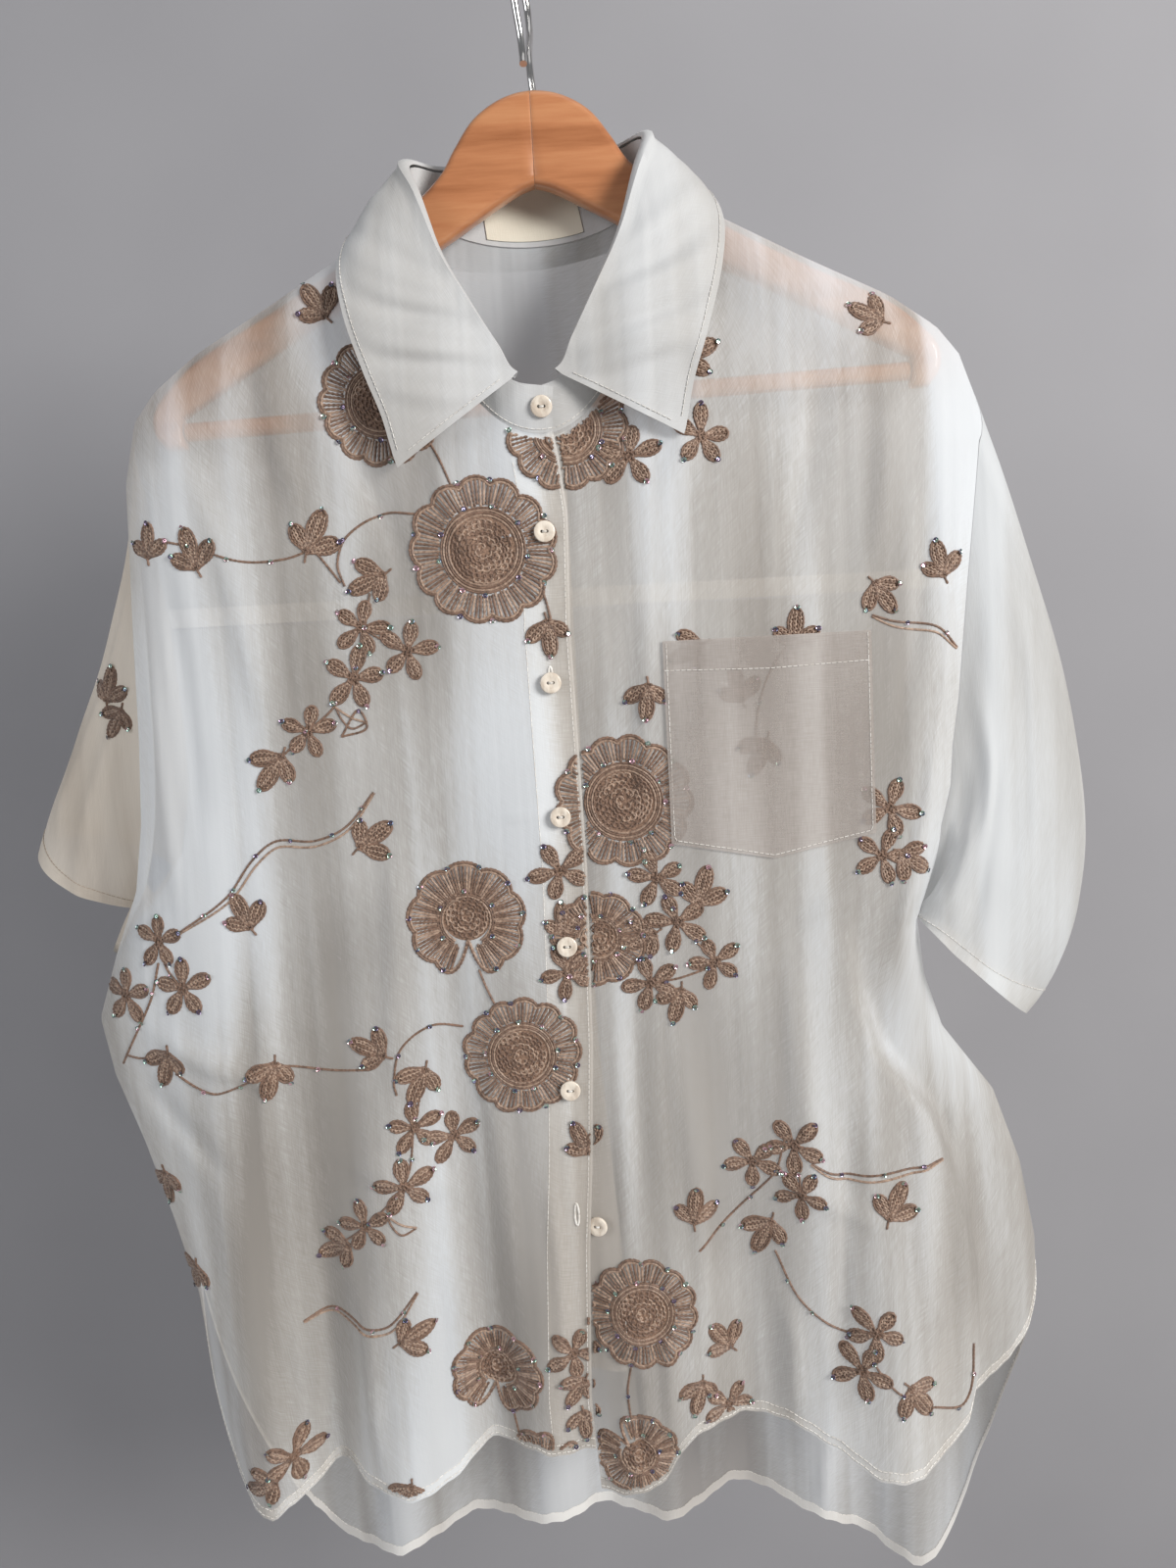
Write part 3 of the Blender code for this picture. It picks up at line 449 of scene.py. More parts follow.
def clothMaterial(name, tones, alpha, translucent, weave, crinkle, roughness=0.8):
    # Vertical bands and fine streaks set the tone, which paints the shade and light of folds, and set the
    # relief and how much shows through
    made, tree, output = newMaterial(name)
    place = addNode(tree, "ShaderNodeTexCoord")
    noises = {}
    for key, (stretch, detail, _) in clothNoises.items():
        values = {"Scale": 1.0, "Detail": detail, "Distortion": 0.25}
        noises[key] = noiseOf(tree, place.outputs["Object"], stretch, values)
    values = {"Scale": 1.0, "Detail": 1.0}
    warp, weft = (noiseOf(tree, place.outputs["UV"], clothSizes[key], values) for key in ("warp", "weft"))
    slubs = addNode(tree, "ShaderNodeMath", {"operation": "MULTIPLY"}, {0: warp, 1: weft}).outputs[0]
    shares = {key: share for key, (_, _, share) in clothNoises.items()}
    bands = {0: noises["bands"]}
    total = addNode(tree, "ShaderNodeMath", {"operation": "MULTIPLY", 1: shares["bands"]}, bands).outputs[0]
    for source, share in (
        (noises["streaks"], shares["streaks"]), (noises["clouds"], shares["clouds"]),
        (slubs, clothSizes["weaveShare"]),
    ):
        links = {0: source, 2: total}
        total = addNode(tree, "ShaderNodeMath", {"operation": "MULTIPLY_ADD", 1: share}, links).outputs[0]
    colour = ramp(tree, total, tones)
    fine = bumpOf(tree, slubs, weave, clothSizes["weaveDeep"])
    streaked = crinkle * clothSizes["streaksShare"]
    creased = bumpOf(tree, noises["streaks"], streaked, clothSizes["streaksDeep"], fine)
    relief = bumpOf(tree, noises["bands"], crinkle, clothSizes["bandsDeep"], creased)
    looks = {"Roughness": roughness, "Sheen Weight": 0.3, "Sheen Roughness": 0.35}
    surface = addNode(tree, "ShaderNodeBsdfPrincipled", looks, {"Base Color": colour, "Normal": relief})
    through = addNode(tree, "ShaderNodeBsdfTranslucent", None, {"Color": colour, "Normal": relief})
    links = {1: surface.outputs[0], 2: through.outputs[0]}
    lit = addNode(tree, "ShaderNodeMixShader", {0: translucent}, links)
    last = lit.outputs[0]
    if alpha < 1:
        clear = addNode(tree, "ShaderNodeBsdfTransparent")
        span = {"From Min": clothSizes["holesFrom"], "From Max": clothSizes["holesTo"]}
        spread = {"To Min": alpha - clothSizes["holes"], "To Max": alpha + clothSizes["holes"]}
        holes = addNode(tree, "ShaderNodeMapRange", {**span, **spread}, {"Value": total})
        links = {0: holes.outputs[0], 1: clear.outputs[0], 2: last}
        last = addNode(tree, "ShaderNodeMixShader", None, links).outputs[0]
    tree.links.new(last, output.inputs["Surface"])
    return made


def plainMaterial(
    name, tones, roughness, scale, stretch=(1, 1, 1), metallic=0.0, coat=0.0, bump=0.0, sheen=0.0, detail=3.0,
):
    made, tree, output = newMaterial(name)
    place = addNode(tree, "ShaderNodeTexCoord")
    values = {"Scale": scale, "Detail": detail, "Roughness": 0.6}
    noise = noiseOf(tree, place.outputs["Object"], stretch, values)
    colour = ramp(tree, noise, tones)
    spread = {"To Min": roughness * 0.8, "To Max": min(roughness * 1.2, 1)}
    rough = addNode(tree, "ShaderNodeMapRange", spread, {"Value": noise})
    values = {"Metallic": metallic, "Coat Weight": coat, "Coat Roughness": 0.12, "Sheen Weight": sheen}
    links = {"Base Color": colour, "Roughness": rough.outputs[0]}
    if bump:
        links["Normal"] = bumpOf(tree, noise, bump, 0.0003)
    surface = addNode(tree, "ShaderNodeBsdfPrincipled", values, links)
    tree.links.new(surface.outputs[0], output.inputs["Surface"])
    return made


# Cloths: tones from shade to light with their places, opacity, light let through, weave, crinkle, roughness
clothLooks = {
    "voile": (
        ((0.42, (0.46, 0.42, 0.37)), (0.49, (0.63, 0.60, 0.56)),
         (0.525, (0.78, 0.775, 0.76)), (0.59, (0.88, 0.91, 0.94))), 0.58, 0.26, 0.3, 0.5,
    ),
    # The yoke's and back's cloth is darker than the front's: painted shade inside the shirt
    "voileShadedBack": (
        ((0.42, (0.37, 0.34, 0.31)), (0.50, (0.50, 0.485, 0.46)),
        (0.59, (0.70, 0.715, 0.73))), 0.74, 0.26, 0.3, 0.5,
    ),
    "sleeveVoile": (
        ((0.42, (0.50, 0.475, 0.44)), (0.52, (0.62, 0.615, 0.60)),
        (0.60, (0.72, 0.74, 0.755))), 0.66, 0.24, 0.3, 0.5,
    ),
    "voileShade": (((0.44, (0.66, 0.585, 0.50)), (0.60, (0.84, 0.77, 0.68))), 0.90, 0.30, 0.3, 0.3),
    "facing": (((0.44, (0.74, 0.70, 0.66)), (0.62, (0.88, 0.865, 0.84))), 0.90, 0.24, 0.3, 0.16),
    # The collar's tones are lowered to grey: painted shade over its white cloth
    "collarCloth": (((0.44, (0.47, 0.455, 0.435)), (0.60, (0.59, 0.595, 0.60))), 1.0, 0.08, 0.5, 0.4),
    "pocketCloth": (((0.44, (0.44, 0.39, 0.355)), (0.58, (0.68, 0.64, 0.61))), 0.50, 0.20, 0.35, 0.12),
    "labelCloth": (((0.44, (0.74, 0.68, 0.56)), (0.64, (0.82, 0.77, 0.65))), 1.0, 0.08, 0.5, 0.02, 0.55),
}
voile, voileShadedBack, sleeveVoile, voileShade, facing, collarCloth, pocketCloth, labelCloth = (
    clothMaterial(name, *look) for name, look in clothLooks.items()
)
# Other finishes: tones with their places, roughness, scale of the noise, and what else differs
plainLooks = {
    "threadDark": (
        ((0.35, (0.098, 0.054, 0.034)), (0.62, (0.225, 0.132, 0.088))),
        0.55, 520, {"sheen": 0.3, "bump": 0.6},
    ),
    "threadLight": (
        ((0.35, (0.185, 0.112, 0.076)), (0.62, (0.40, 0.275, 0.20))), 0.45, 520, {"sheen": 0.4, "bump": 0.6},
    ),
    "threadBase": (((0.38, (0.13, 0.075, 0.05)), (0.60, (0.27, 0.165, 0.11))), 0.7, 900, {"bump": 0.8}),
    "sewing": (((0.4, (0.62, 0.58, 0.53)), (0.6, (0.80, 0.78, 0.74))), 0.7, 300, {}),
    # The sewing thread made darker and tan for the sleeve behind the body: painted shade
    "sewingShaded": (((0.4, (0.36, 0.27, 0.20)), (0.6, (0.50, 0.40, 0.32))), 0.7, 300, {}),
    "sequinFilm": (
        ((0.36, (0.20, 0.14, 0.22)), (0.45, (0.10, 0.11, 0.20)), (0.53, (0.34, 0.52, 0.40)),
        (0.62, (0.60, 0.34, 0.40))),
        0.14, 170, {"metallic": 0.8, "coat": 0.8, "detail": 1.0},
    ),
    "pearl": (
        ((0.38, (0.58, 0.49, 0.40)), (0.6, (0.78, 0.70, 0.60))),
        0.26, 260, {"stretch": (1, 1, 0.4), "coat": 0.5},
    ),
    "wood": (
        ((0.30, (0.34, 0.125, 0.048)), (0.48, (0.46, 0.185, 0.078)), (0.66, (0.54, 0.245, 0.11))),
        0.30, 34, {"stretch": (0.25, 3, 3), "coat": 0.6, "bump": 0.12, "detail": 6.0},
    ),
    "wire": (((0.3, (0.60, 0.58, 0.56)), (0.7, (0.78, 0.77, 0.76))), 0.16, 90, {"metallic": 1.0}),
    "plaster": (((0.3, (0.285, 0.28, 0.295)), (0.7, (0.335, 0.33, 0.345))), 0.9, 1.6, {}),
    "pale": (((0.3, (0.55, 0.54, 0.53)), (0.7, (0.62, 0.61, 0.60))), 0.9, 3.0, {}),
}
threadDark, threadLight, threadBase, sewing, sewingShaded, sequinFilm, pearl, wood, wire, plaster, pale = (
    plainMaterial(name, *look, **more) for name, (*look, more) in plainLooks.items()
)
print("materials")

# Body panels: heights of the armhole's top, the yoke's foot and the rows above the hem
bodySizes = {"seam": 0.3, "bandColumns": 9, "flatColumns": 52, "arcColumns": 26, "pucker": 1.1}
backSizes = {"seam": 0.3, "flatColumns": 50, "arcColumns": 22, "pucker": 1.3}
panelRows = {
    "top": -262, "step": -3.2, "frontFoot": -702, "yokeFoot": -338.6, "yoke": 20, "backTop": -339.4,
    "backFoot": -700, "back": 92, "neckRows": {front: 44, back: 36}, "hemRows": {front: 42, back: 60},
}
frontFoot = panelRows["frontFoot"]
frontLevels = [*np.arange(panelRows["top"], frontFoot + 1, panelRows["step"]), frontFoot]
lapFront, underFront = (
    panel(side, front, frontLevels, panelRows["neckRows"][front], panelRows["hemRows"][front], bodySizes)
    for side in (left, right)
)
yokeLevels = np.linspace(panelRows["top"], panelRows["yokeFoot"], panelRows["yoke"])
backLevels = np.linspace(panelRows["backTop"], panelRows["backFoot"], panelRows["back"])
yokeGrid, backGrid = (
    np.concatenate([halves[0][:, :0:-1], halves[1]], axis=1) for halves in (
        [panel(side, back, yokeLevels, panelRows["neckRows"][back], 0, backSizes) for side in (left, right)],
        [panel(side, back, backLevels, 0, panelRows["hemRows"][back], backSizes) for side in (left, right)],
    )
)
print("panels", lapFront.shape, underFront.shape, yokeGrid.shape, backGrid.shape)


def runOf(points):
    # How far along a line each of its points lies
    return np.concatenate([[0], np.cumsum(np.linalg.norm(np.diff(points, axis=0), axis=1))])


def pointsAt(points, run, at):
    return np.stack([np.interp(at, run, points[:, axis]) for axis in range(points.shape[1])], -1)


def insetRow(grid, distance):
    # For each column, the point a distance in metres from its last row
    return np.array([pointsAt(line, runOf(line), distance) for line in grid[::-1].transpose(1, 0, 2)])


def insetColumn(grid, distance, last):
    # For each row, the point a distance from its first or last column
    return insetRow((grid if last else grid[:, ::-1]).transpose(1, 0, 2), distance)


def band(grid, distance, shift):
    # A strip that repeats a grid's lower edge, moved back or forward
    strip = np.array([insetRow(grid, away * mm) for away in np.linspace(0.15, distance, 4)])
    return strip + np.array((0, shift, 0)) * mm


def clothPiece(name, grid, finish, replaced, ring=False, thickness=0.0):
    obj = sheetMesh(name, grid, finish, ring, thickness)
    if replaced:
        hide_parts(*replaced)


clothPiece("frontRight", lapFront, voile, ["front_right"])
clothPiece("frontLeft", underFront, voile, ["front_left"])
# The yoke and back take the darker cloth, painted shade inside the shirt
clothPiece("yokePanel", yokeGrid, voileShadedBack, ["yoke"])
clothPiece("backPanel", backGrid, voileShadedBack, ["back"])

# Facings lie behind the plackets; the one of the under front stops above the hem
facingSizes = {"firstRow": 6, "behind": 0.9, "underFoot": -781}
behind = np.array((0, facingSizes["behind"] * mm, 0))
underEnd = int(np.argmax(underFront[:, 0, 2] < facingSizes["underFoot"] * mm))
lapBand = lapFront[facingSizes["firstRow"]:, :bodySizes["bandColumns"]] + behind
underBand = underFront[facingSizes["firstRow"]:underEnd, :bodySizes["bandColumns"]] + behind
clothPiece("lapFacing", lapBand, facing, ["buttonhole_band"])
clothPiece("underFacing", underBand, facing, ["button_band"])
# Turned hems and the yoke's seam: width, and how far back they lie
turnings = {
    "hemRight": (lapFront, 7, 0.5), "hemLeft": (underFront, 7, 0.5), "hemBack": (backGrid, 7, -0.5),
    "yokeSeam": (yokeGrid, 11, -0.6),
}
for name, (grid, wide, shift) in turnings.items():
    clothPiece(name, band(grid, wide, shift), facing, [])
print("body")

# Sleeves: the cuff's middle, half width and depth, and how the cloth leaves the armhole and meets the cuff
sleeveSizes = {"steps": 96, "half": 46, "gap": 0.5, "top": -228, "foot": -525, "fade": 40, "hemRows": 6}
cuffs = {
    right: {"middle": (232.5, -7, -557), "width": (33.5, 5, -33), "depth": (-10, -28, 6)},
    left: {"middle": (-291, 62, -487), "width": (-42, 8, 19), "depth": (-8, -34, -7)},
}
pulls = {
    right: {
        "start": {"top": (39, 0, -118), "front": (28, -14, -30), "foot": (10, 0, -2), "back": (26, 14, -30)},
        "end": {"top": (-74, 0, -86), "front": (-16, -8, -40), "foot": (4, 0, -6), "back": (-16, 8, -40)},
    },
    left: {
        "start": {
            "top": (-14, 22, -80), "front": (-24, 12, -25), "foot": (-18, 10, 0), "back": (-8, 28, -25),
        },
        "end": {"top": (-34, 6, -82), "front": (-16, 0, -40), "foot": (-6, 8, -14), "back": (-12, 8, -40)},
    },
}
# Creases: angle round the sleeve in degrees at the top and the cuff, where they start and end, width, height
sleeveCreases = {
    right: (
        (40, 70, 0.1, 0.8, 10, 2.2), (75, 110, 0.3, 1.0, 9, -2.0), (105, 95, 0.0, 0.6, 9, 2.2),
        (140, 120, 0.2, 0.9, 9, 1.8), (215, 240, 0.1, 0.8, 10, 2.0), (270, 280, 0.2, 1.0, 10, -2.0),
        (320, 310, 0.1, 0.9, 10, 2.0),
    ),
    left: (
        (30, 50, 0.1, 0.9, 10, 2.0), (70, 90, 0.2, 1.0, 9, 2.2), (120, 130, 0.0, 0.7, 10, -2.0),
        (200, 220, 0.2, 0.9, 10, 2.0), (260, 250, 0.1, 0.9, 9, 2.0), (310, 330, 0.2, 1.0, 9, -1.8),
    ),
}


def pullAt(pull, angle):
    upper, lower = max(math.cos(angle), 0) ** 2, max(-math.cos(angle), 0) ** 2
    beside = np.array(pull[front if angle <= math.pi else back]) * math.sin(angle) ** 2
    return (np.array(pull["top"]) * upper + np.array(pull["foot"]) * lower + beside) * mm


def armholeEdge(grid, column, side):
    # A panel's edge, moved onward by the seam's gap, and sideways near the armhole's ends
    edge, inner = grid[:, column], grid[:, column + (2 if column == 0 else -2)]
    onward = (edge - inner) / np.linalg.norm(edge - inner, axis=1, keepdims=True)
    z = edge[:, 2] / mm
    top, foot, fade = (sleeveSizes[key] for key in ("top", "foot", "fade"))
    ends = (1 - ease((top - z) / fade) * ease((z - foot) / fade))[:, None]
    away = onward * (1 - ends) + np.array((side, 0, 0)) * ends
    moved = edge + away / np.linalg.norm(away, axis=1, keepdims=True) * sleeveSizes["gap"] * mm
    return moved[(z <= top + 1) & (z >= foot - 1)]


def evenly(points, count):
    run = runOf(points)
    return pointsAt(points, run, np.linspace(0, run[-1], count))


def sleeve(side, frontGrid):
    steps, half = sleeveSizes["steps"], sleeveSizes["half"]
    column = -1 if side == right else 0
    before = evenly(armholeEdge(frontGrid, -1, side), half)
    behind = np.concatenate([armholeEdge(grid, column, side) for grid in (yokeGrid, backGrid)])
    loop = np.concatenate([before, evenly(behind, half + 1)[::-1][1:-1]])
    count = len(loop)
    middle, width, depth = (np.array(cuffs[side][key]) * mm for key in ("middle", "width", "depth"))
    part = np.linspace(0, 1, steps + 1)[:, None]
    lines = []
    for i, point in enumerate(loop):
        past = i - half + 1
        angle = math.pi * i / (half - 1) if past <= 0 else math.pi + math.pi * past / (count - half + 1)
        end = middle + width * math.cos(angle) + depth * math.sin(angle)
        leave, arrive = point + pullAt(pulls[side]["start"], angle), end - pullAt(pulls[side]["end"], angle)
        lines.append(
            (1 - part) ** 3 * point + 3 * part * (1 - part) ** 2 * leave
            + 3 * part * part * (1 - part) * arrive + part**3 * end
        )
    grid = np.array(lines).transpose(1, 0, 2)
    angles = np.degrees(np.linspace(0, 2 * np.pi, count, endpoint=False))[None, :]
    lift = np.zeros((steps + 1, count))
    for top, foot, start, stop, wide, height in sleeveCreases[side]:
        at = top + (foot - top) * part + 5 * np.sin(part * 6 + top)
        off = (angles - at + 180) % 360 - 180
        grown = ease((part - start) / 0.2) * ease((stop - part) / 0.15 + (stop >= 1))
        lift += height * grown * np.exp(-((off / wide) ** 2))
    uneven = np.sin(np.radians(angles * 3) + part * 9) * np.sin(part * 14 + angles / 40)
    lift += 0.5 * uneven * ease(part / 0.1)
    return grid + outwardNormals(grid) * lift[..., None] * mm


sleeveGrids = {right: sleeve(right, underFront), left: sleeve(left, lapFront)}
sleevePieces = {
    right: ("sleeveLeft", "sleeve_left", sleeveVoile, facing),
    left: ("sleeveRight", "sleeve_right", voileShade, voileShade),
}
for side, (name, node, finish, hemFinish) in sleevePieces.items():
    grid = sleeveGrids[side]
    clothPiece(name, grid, finish, [node], ring=True)
    inner = (grid - gridNormals(grid, True) * sleeveSizes["gap"] * mm)[-sleeveSizes["hemRows"]:]
    clothPiece(name + "Hem", inner, hemFinish, [], ring=True)
print("sleeves")

# Collar: place round the neck, then x from its middle, y and z of the fold and of the outer edge
collar = (
    (1.00, -8, -33, -226, 70, -38, -262), (0.93, 12, -34, -221, 75, -38, -258),
    (0.80, 22, -35, -205, 81, -40, -232),
    (0.65, 35, -34, -181, 89, -41, -208), (0.50, 48, -28, -153, 98, -36, -176),
    (0.40, 57, -15, -119, 101, -22, -150),
    (0.33, 62, -2, -100, 96, 1, -131), (0.20, 47, 17, -97, 68, 29, -139), (0.00, 0, 27, -99, 0, 38, -147),
)
foldColumn, edgeColumn = 1, 4
collarSizes = {
    "rise": 0.065, "end": 0.93, "start": 1.3, "lift": 3.6, "roll": 5.0, "bow": 3.0, "under": 3.6,
    "thick": 0.8, "middleY": -5, "wide": 60, "deep": 33, "rollTurn": 0.62, "rollLift": 0.8, "leafLift": 0.55,
    "columns": 150, "rows": 26,
}
standSizes = {"rows": 14, "foot": -0.03, "bow": 0.8, "thick": 1.0, "spacing": 1.2, "deeper": 3.3}
# Waves of the leaf: height, how often round the neck and down the leaf, shift, fading towards the edge
leafWaves = ((1.9, 38, 9, 0, 0), (1.2, 83, 21, 1, 0.5))


def catmull(keys, values, at):
    i = min(max(int(np.searchsorted(keys, at)) - 1, 0), len(keys) - 2)
    before, after = max(i - 1, 0), min(i + 2, len(keys) - 1)
    leave = (values[i + 1] - values[before]) / (keys[i + 1] - keys[before])
    arrive = (values[after] - values[i]) / (keys[after] - keys[i])
    run = keys[i + 1] - keys[i]
    return hermite((at - keys[i]) / run, run, values[i], leave, values[i + 1], arrive)


def collarLine(place, first):
    rows = sorted(collar)
    keys = [-row[0] for row in rows[:0:-1]] + [row[0] for row in rows]
    values = []
    for column in range(first, first + 3):
        known = [row[column] for row in rows]
        other = [-v if column == first else v for v in known[:0:-1]]
        values.append(catmull(keys, other + known, place))
    x, y, z = values
    y += collarSizes["under"] * float(ease((place - 0.70) / 0.2))
    return np.array((neck["x"] + x, y, z + collarSizes["rise"] * x)) * mm


def runAlong(points):
    run = runOf(points)
    return run / run[-1]


# The stand rises from the fronts' and the yoke's upper edges to the leaf's fold
feet = np.concatenate([lapFront[0][:-1], yokeGrid[0], underFront[0][::-1][1:]])
kept = [0]
for i in range(1, len(feet)):
    if np.linalg.norm(feet[i] - feet[kept[-1]]) > standSizes["spacing"] * mm:
        kept.append(i)
feet = feet[kept]
marks = np.linspace(-1, 1, 161)
folded = runAlong(np.array([collarLine(mark, foldColumn) for mark in marks]))
tops = np.array([collarLine(place, foldColumn) for place in np.interp(runAlong(feet), folded, marks)])
standParts = np.linspace(standSizes["foot"], 1, standSizes["rows"])[:, None, None]
standGrid = feet[None] + (tops - feet)[None] * standParts
neckMiddle = np.array((neck["x"], collarSizes["middleY"], 0)) * mm
standOut = (feet - neckMiddle) * np.array((1, standSizes["deeper"], 0))
standOut /= np.linalg.norm(standOut, axis=1, keepdims=True)
standGrid += standOut[None] * np.sin(np.pi * standParts) * standSizes["bow"] * mm
standThick, leafThick = standSizes["thick"], collarSizes["thick"]
clothPiece("collarStand", standGrid, collarCloth, ["collar_stand"], False, standThick)


def leafLine(place):
    # One line of the leaf, from the stand over the fold to the edge
    fold, edge = collarLine(place, foldColumn), collarLine(place, edgeColumn)
    onward = collarLine(place + 0.01, foldColumn) - collarLine(place - 0.01, foldColumn)
    onward /= np.linalg.norm(onward)
    out = (fold - neckMiddle) / (collarSizes["wide"] ** 2, collarSizes["deep"] ** 2, math.inf)
    out -= onward * (out @ onward)
    out /= np.linalg.norm(out)
    up = np.cross(onward, out)
    up *= 1 if up[2] > 0 else -1
    roll, lift, start = (collarSizes[key] * mm for key in ("roll", "lift", "start"))
    line = [fold + up * start]
    for turn in np.linspace(0.2, 1, 6):
        angle = math.pi * turn * collarSizes["rollTurn"]
        over = up * (start + lift * math.sin(angle) * collarSizes["rollLift"])
        line.append(fold + out * roll * (1 - math.cos(angle)) / 1.37 + over)
    rolled = fold + out * roll + up * lift * collarSizes["leafLift"]
    for part in np.linspace(0, 1, collarSizes["rows"])[1:]:
        belly = math.sin(math.pi * part)
        wave = 0.5 * math.sin(place * 17 + part * 4) * belly
        beside = math.exp(-(((abs(place) - 0.62) / 0.22) ** 2))
        pulled = beside * math.sin(math.pi * min(part * 1.08, 1)) ** 0.7
        slant = part * (1 if place > 0 else -1)
        for height, around, down, shift, fade in leafWaves:
            wave += height * math.sin(place * around + slant * down + shift) * pulled * (1 - fade * part)
        line.append(rolled + (edge - rolled) * part + out * (collarSizes["bow"] * belly + wave) * mm)
    return line


leafPlaces = np.linspace(-collarSizes["end"], collarSizes["end"], collarSizes["columns"])
leafGrid = np.array([leafLine(place) for place in leafPlaces]).transpose(1, 0, 2)
clothPiece("collarLeaf", leafGrid, collarCloth, ["collar_leaf"], False, leafThick)
print("collar", standGrid.shape, leafGrid.shape)

# Pocket, with a slack mouth and a pull towards its lower corner
pocketSizes = {
    "left": 58, "right": 170, "top": -360, "foot": -470, "point": 11, "out": 1.6, "columns": 45, "rows": 50,
    "slack": 1.5, "pull": 0.7, "thick": 0.5, "hemRows": 8, "hemBehind": 0.55,
}
pocketX = np.linspace(pocketSizes["left"], pocketSizes["right"], pocketSizes["columns"])[None, :]
pocketPart = np.linspace(0, 1, pocketSizes["rows"])[:, None]
pocketMiddle = (pocketSizes["left"] + pocketSizes["right"]) / 2
pocketHalf = (pocketSizes["right"] - pocketSizes["left"]) / 2
pocketFoot = pocketSizes["foot"] - pocketSizes["point"] * (1 - np.abs(pocketX - pocketMiddle) / pocketHalf)
pocketZ = pocketSizes["top"] + (pocketFoot - pocketSizes["top"]) * pocketPart
pocketX = pocketX + 0 * pocketZ
bulge = np.sin(np.pi * (pocketX - pocketSizes["left"]) / (2 * pocketHalf)) ** 0.7
slack = pocketSizes["slack"] * bulge * (1 - ease((pocketPart - 0.05) / 0.5))
pullLine = (pocketX - 60) * 0.62 - (pocketZ + 440) * 0.3
pulled = np.exp(-((pullLine / 5) ** 2)) * ease(pocketPart * 3) * ease((1 - pocketPart) * 4)
slack += pocketSizes["pull"] * pulled
pocketY = frontSurface(right, pocketX, pocketZ) - pocketSizes["out"] - slack
pocketGrid = np.stack([pocketX, pocketY, pocketZ], -1) * mm
clothPiece("chestPocket", pocketGrid, pocketCloth, ["pocket"], thickness=pocketSizes["thick"])
pocketHem = pocketGrid[:pocketSizes["hemRows"]] + np.array((0, pocketSizes["hemBehind"] * mm, 0))
clothPiece("pocketHem", pocketHem, pocketCloth, [])

# Neck label, inside the back of the stand
labelSizes = {"left": -26, "right": 28, "firstRow": 1, "rows": 12, "inside": 1.1, "thick": 0.25}
levelRow = standGrid[3] / mm
inBack = (levelRow[:, 1] > 0) & (levelRow[:, 0] > labelSizes["left"]) & (levelRow[:, 0] < labelSizes["right"])
labelRows = slice(labelSizes["firstRow"], labelSizes["firstRow"] + labelSizes["rows"])
labelGrid = standGrid[labelRows, inBack] - np.array((0, labelSizes["inside"] * mm, 0))
clothPiece("neckLabel", labelGrid, labelCloth, ["neck_label"], thickness=labelSizes["thick"])
print("pocket and label")


# Threads: each strand is a low arch over the cloth
strandShape = {"sunk": 0.1, "shoulder": 0.55, "crown": 0.85, "beat": 2.4}


class Threads:
    def __init__(self):
        self.points, self.faces, self.count = [], [], 0

    def add(self, line, normals, width, height, chain=0.0, beat=strandShape["beat"]):
        # line in metres, one normal for each point; width, height and beat in millimetres
        if len(line) < 2:
            return
        onward = np.gradient(line, axis=0)
        onward /= np.maximum(np.linalg.norm(onward, axis=1, keepdims=True), 1e-9)
        beside = np.cross(onward, normals)
        beside /= np.maximum(np.linalg.norm(beside, axis=1, keepdims=True), 1e-9)
        swell = 1 - chain + 2 * chain * np.abs(np.sin(np.pi * runOf(line) / (beat * mm)))
        half = beside * (width * mm / 2 * swell)[:, None]
        sunk = normals * strandShape["sunk"] * mm
        crown = normals * (height * mm * swell)[:, None] * strandShape["crown"]
        shoulder = half * strandShape["shoulder"]
        corners = (-half - sunk, crown - shoulder, crown + shoulder, half - sunk)
        self.points.append(np.stack([line + corner for corner in corners], axis=1).reshape(-1, 3))
        base = self.count + 4 * np.arange(len(line) - 1)[:, None]
        for k in range(3):
            self.faces.append(np.concatenate([base + k, base + k + 1, base + k + 5, base + k + 4], axis=1))
        self.count += 4 * len(line)

    def build(self, name, finish, slotName=None):
        return looseOf(self, name, finish)


class Pads:
    # Thin patches of thread under the cords, from grids of x and z
    def __init__(self):
        self.points, self.faces, self.count = [], [], 0

    def add(self, points, rows, columns, keep):
        self.points.append(points)
        r, c = np.meshgrid(np.arange(rows - 1), np.arange(columns - 1), indexing="ij")
        base = (r * columns + c).reshape(-1)
        quads = np.stack([base, base + 1, base + columns + 1, base + columns], -1)
        self.faces.append(quads[keep[quads].all(axis=1)] + self.count)
        self.count += len(points)


def looseOf(holder, name, finish):
    obj = loose(name, np.concatenate(holder.points), np.concatenate(holder.faces), finish)
    print(name, len(obj.data.polygons) * 2, "triangles")
    return obj


# The fronts' depth and slopes on a grid, so cords find them fast
reliefSizes = {"left": -290, "right": 291, "foot": -872, "top": -90, "stepX": 1.5, "stepZ": 2.0}
reliefX = np.arange(reliefSizes["left"], reliefSizes["right"], reliefSizes["stepX"])
reliefZ = np.arange(reliefSizes["foot"], reliefSizes["top"], reliefSizes["stepZ"])


def withSlopes(depth):
    slopeZ, slopeX = np.gradient(depth, reliefSizes["stepZ"], reliefSizes["stepX"])
    return np.stack([depth, slopeX, slopeZ], -1)


fineGrid = np.meshgrid(reliefX, reliefZ)
reliefs = {side: withSlopes(frontSurface(side, *fineGrid)) for side in (left, right)}

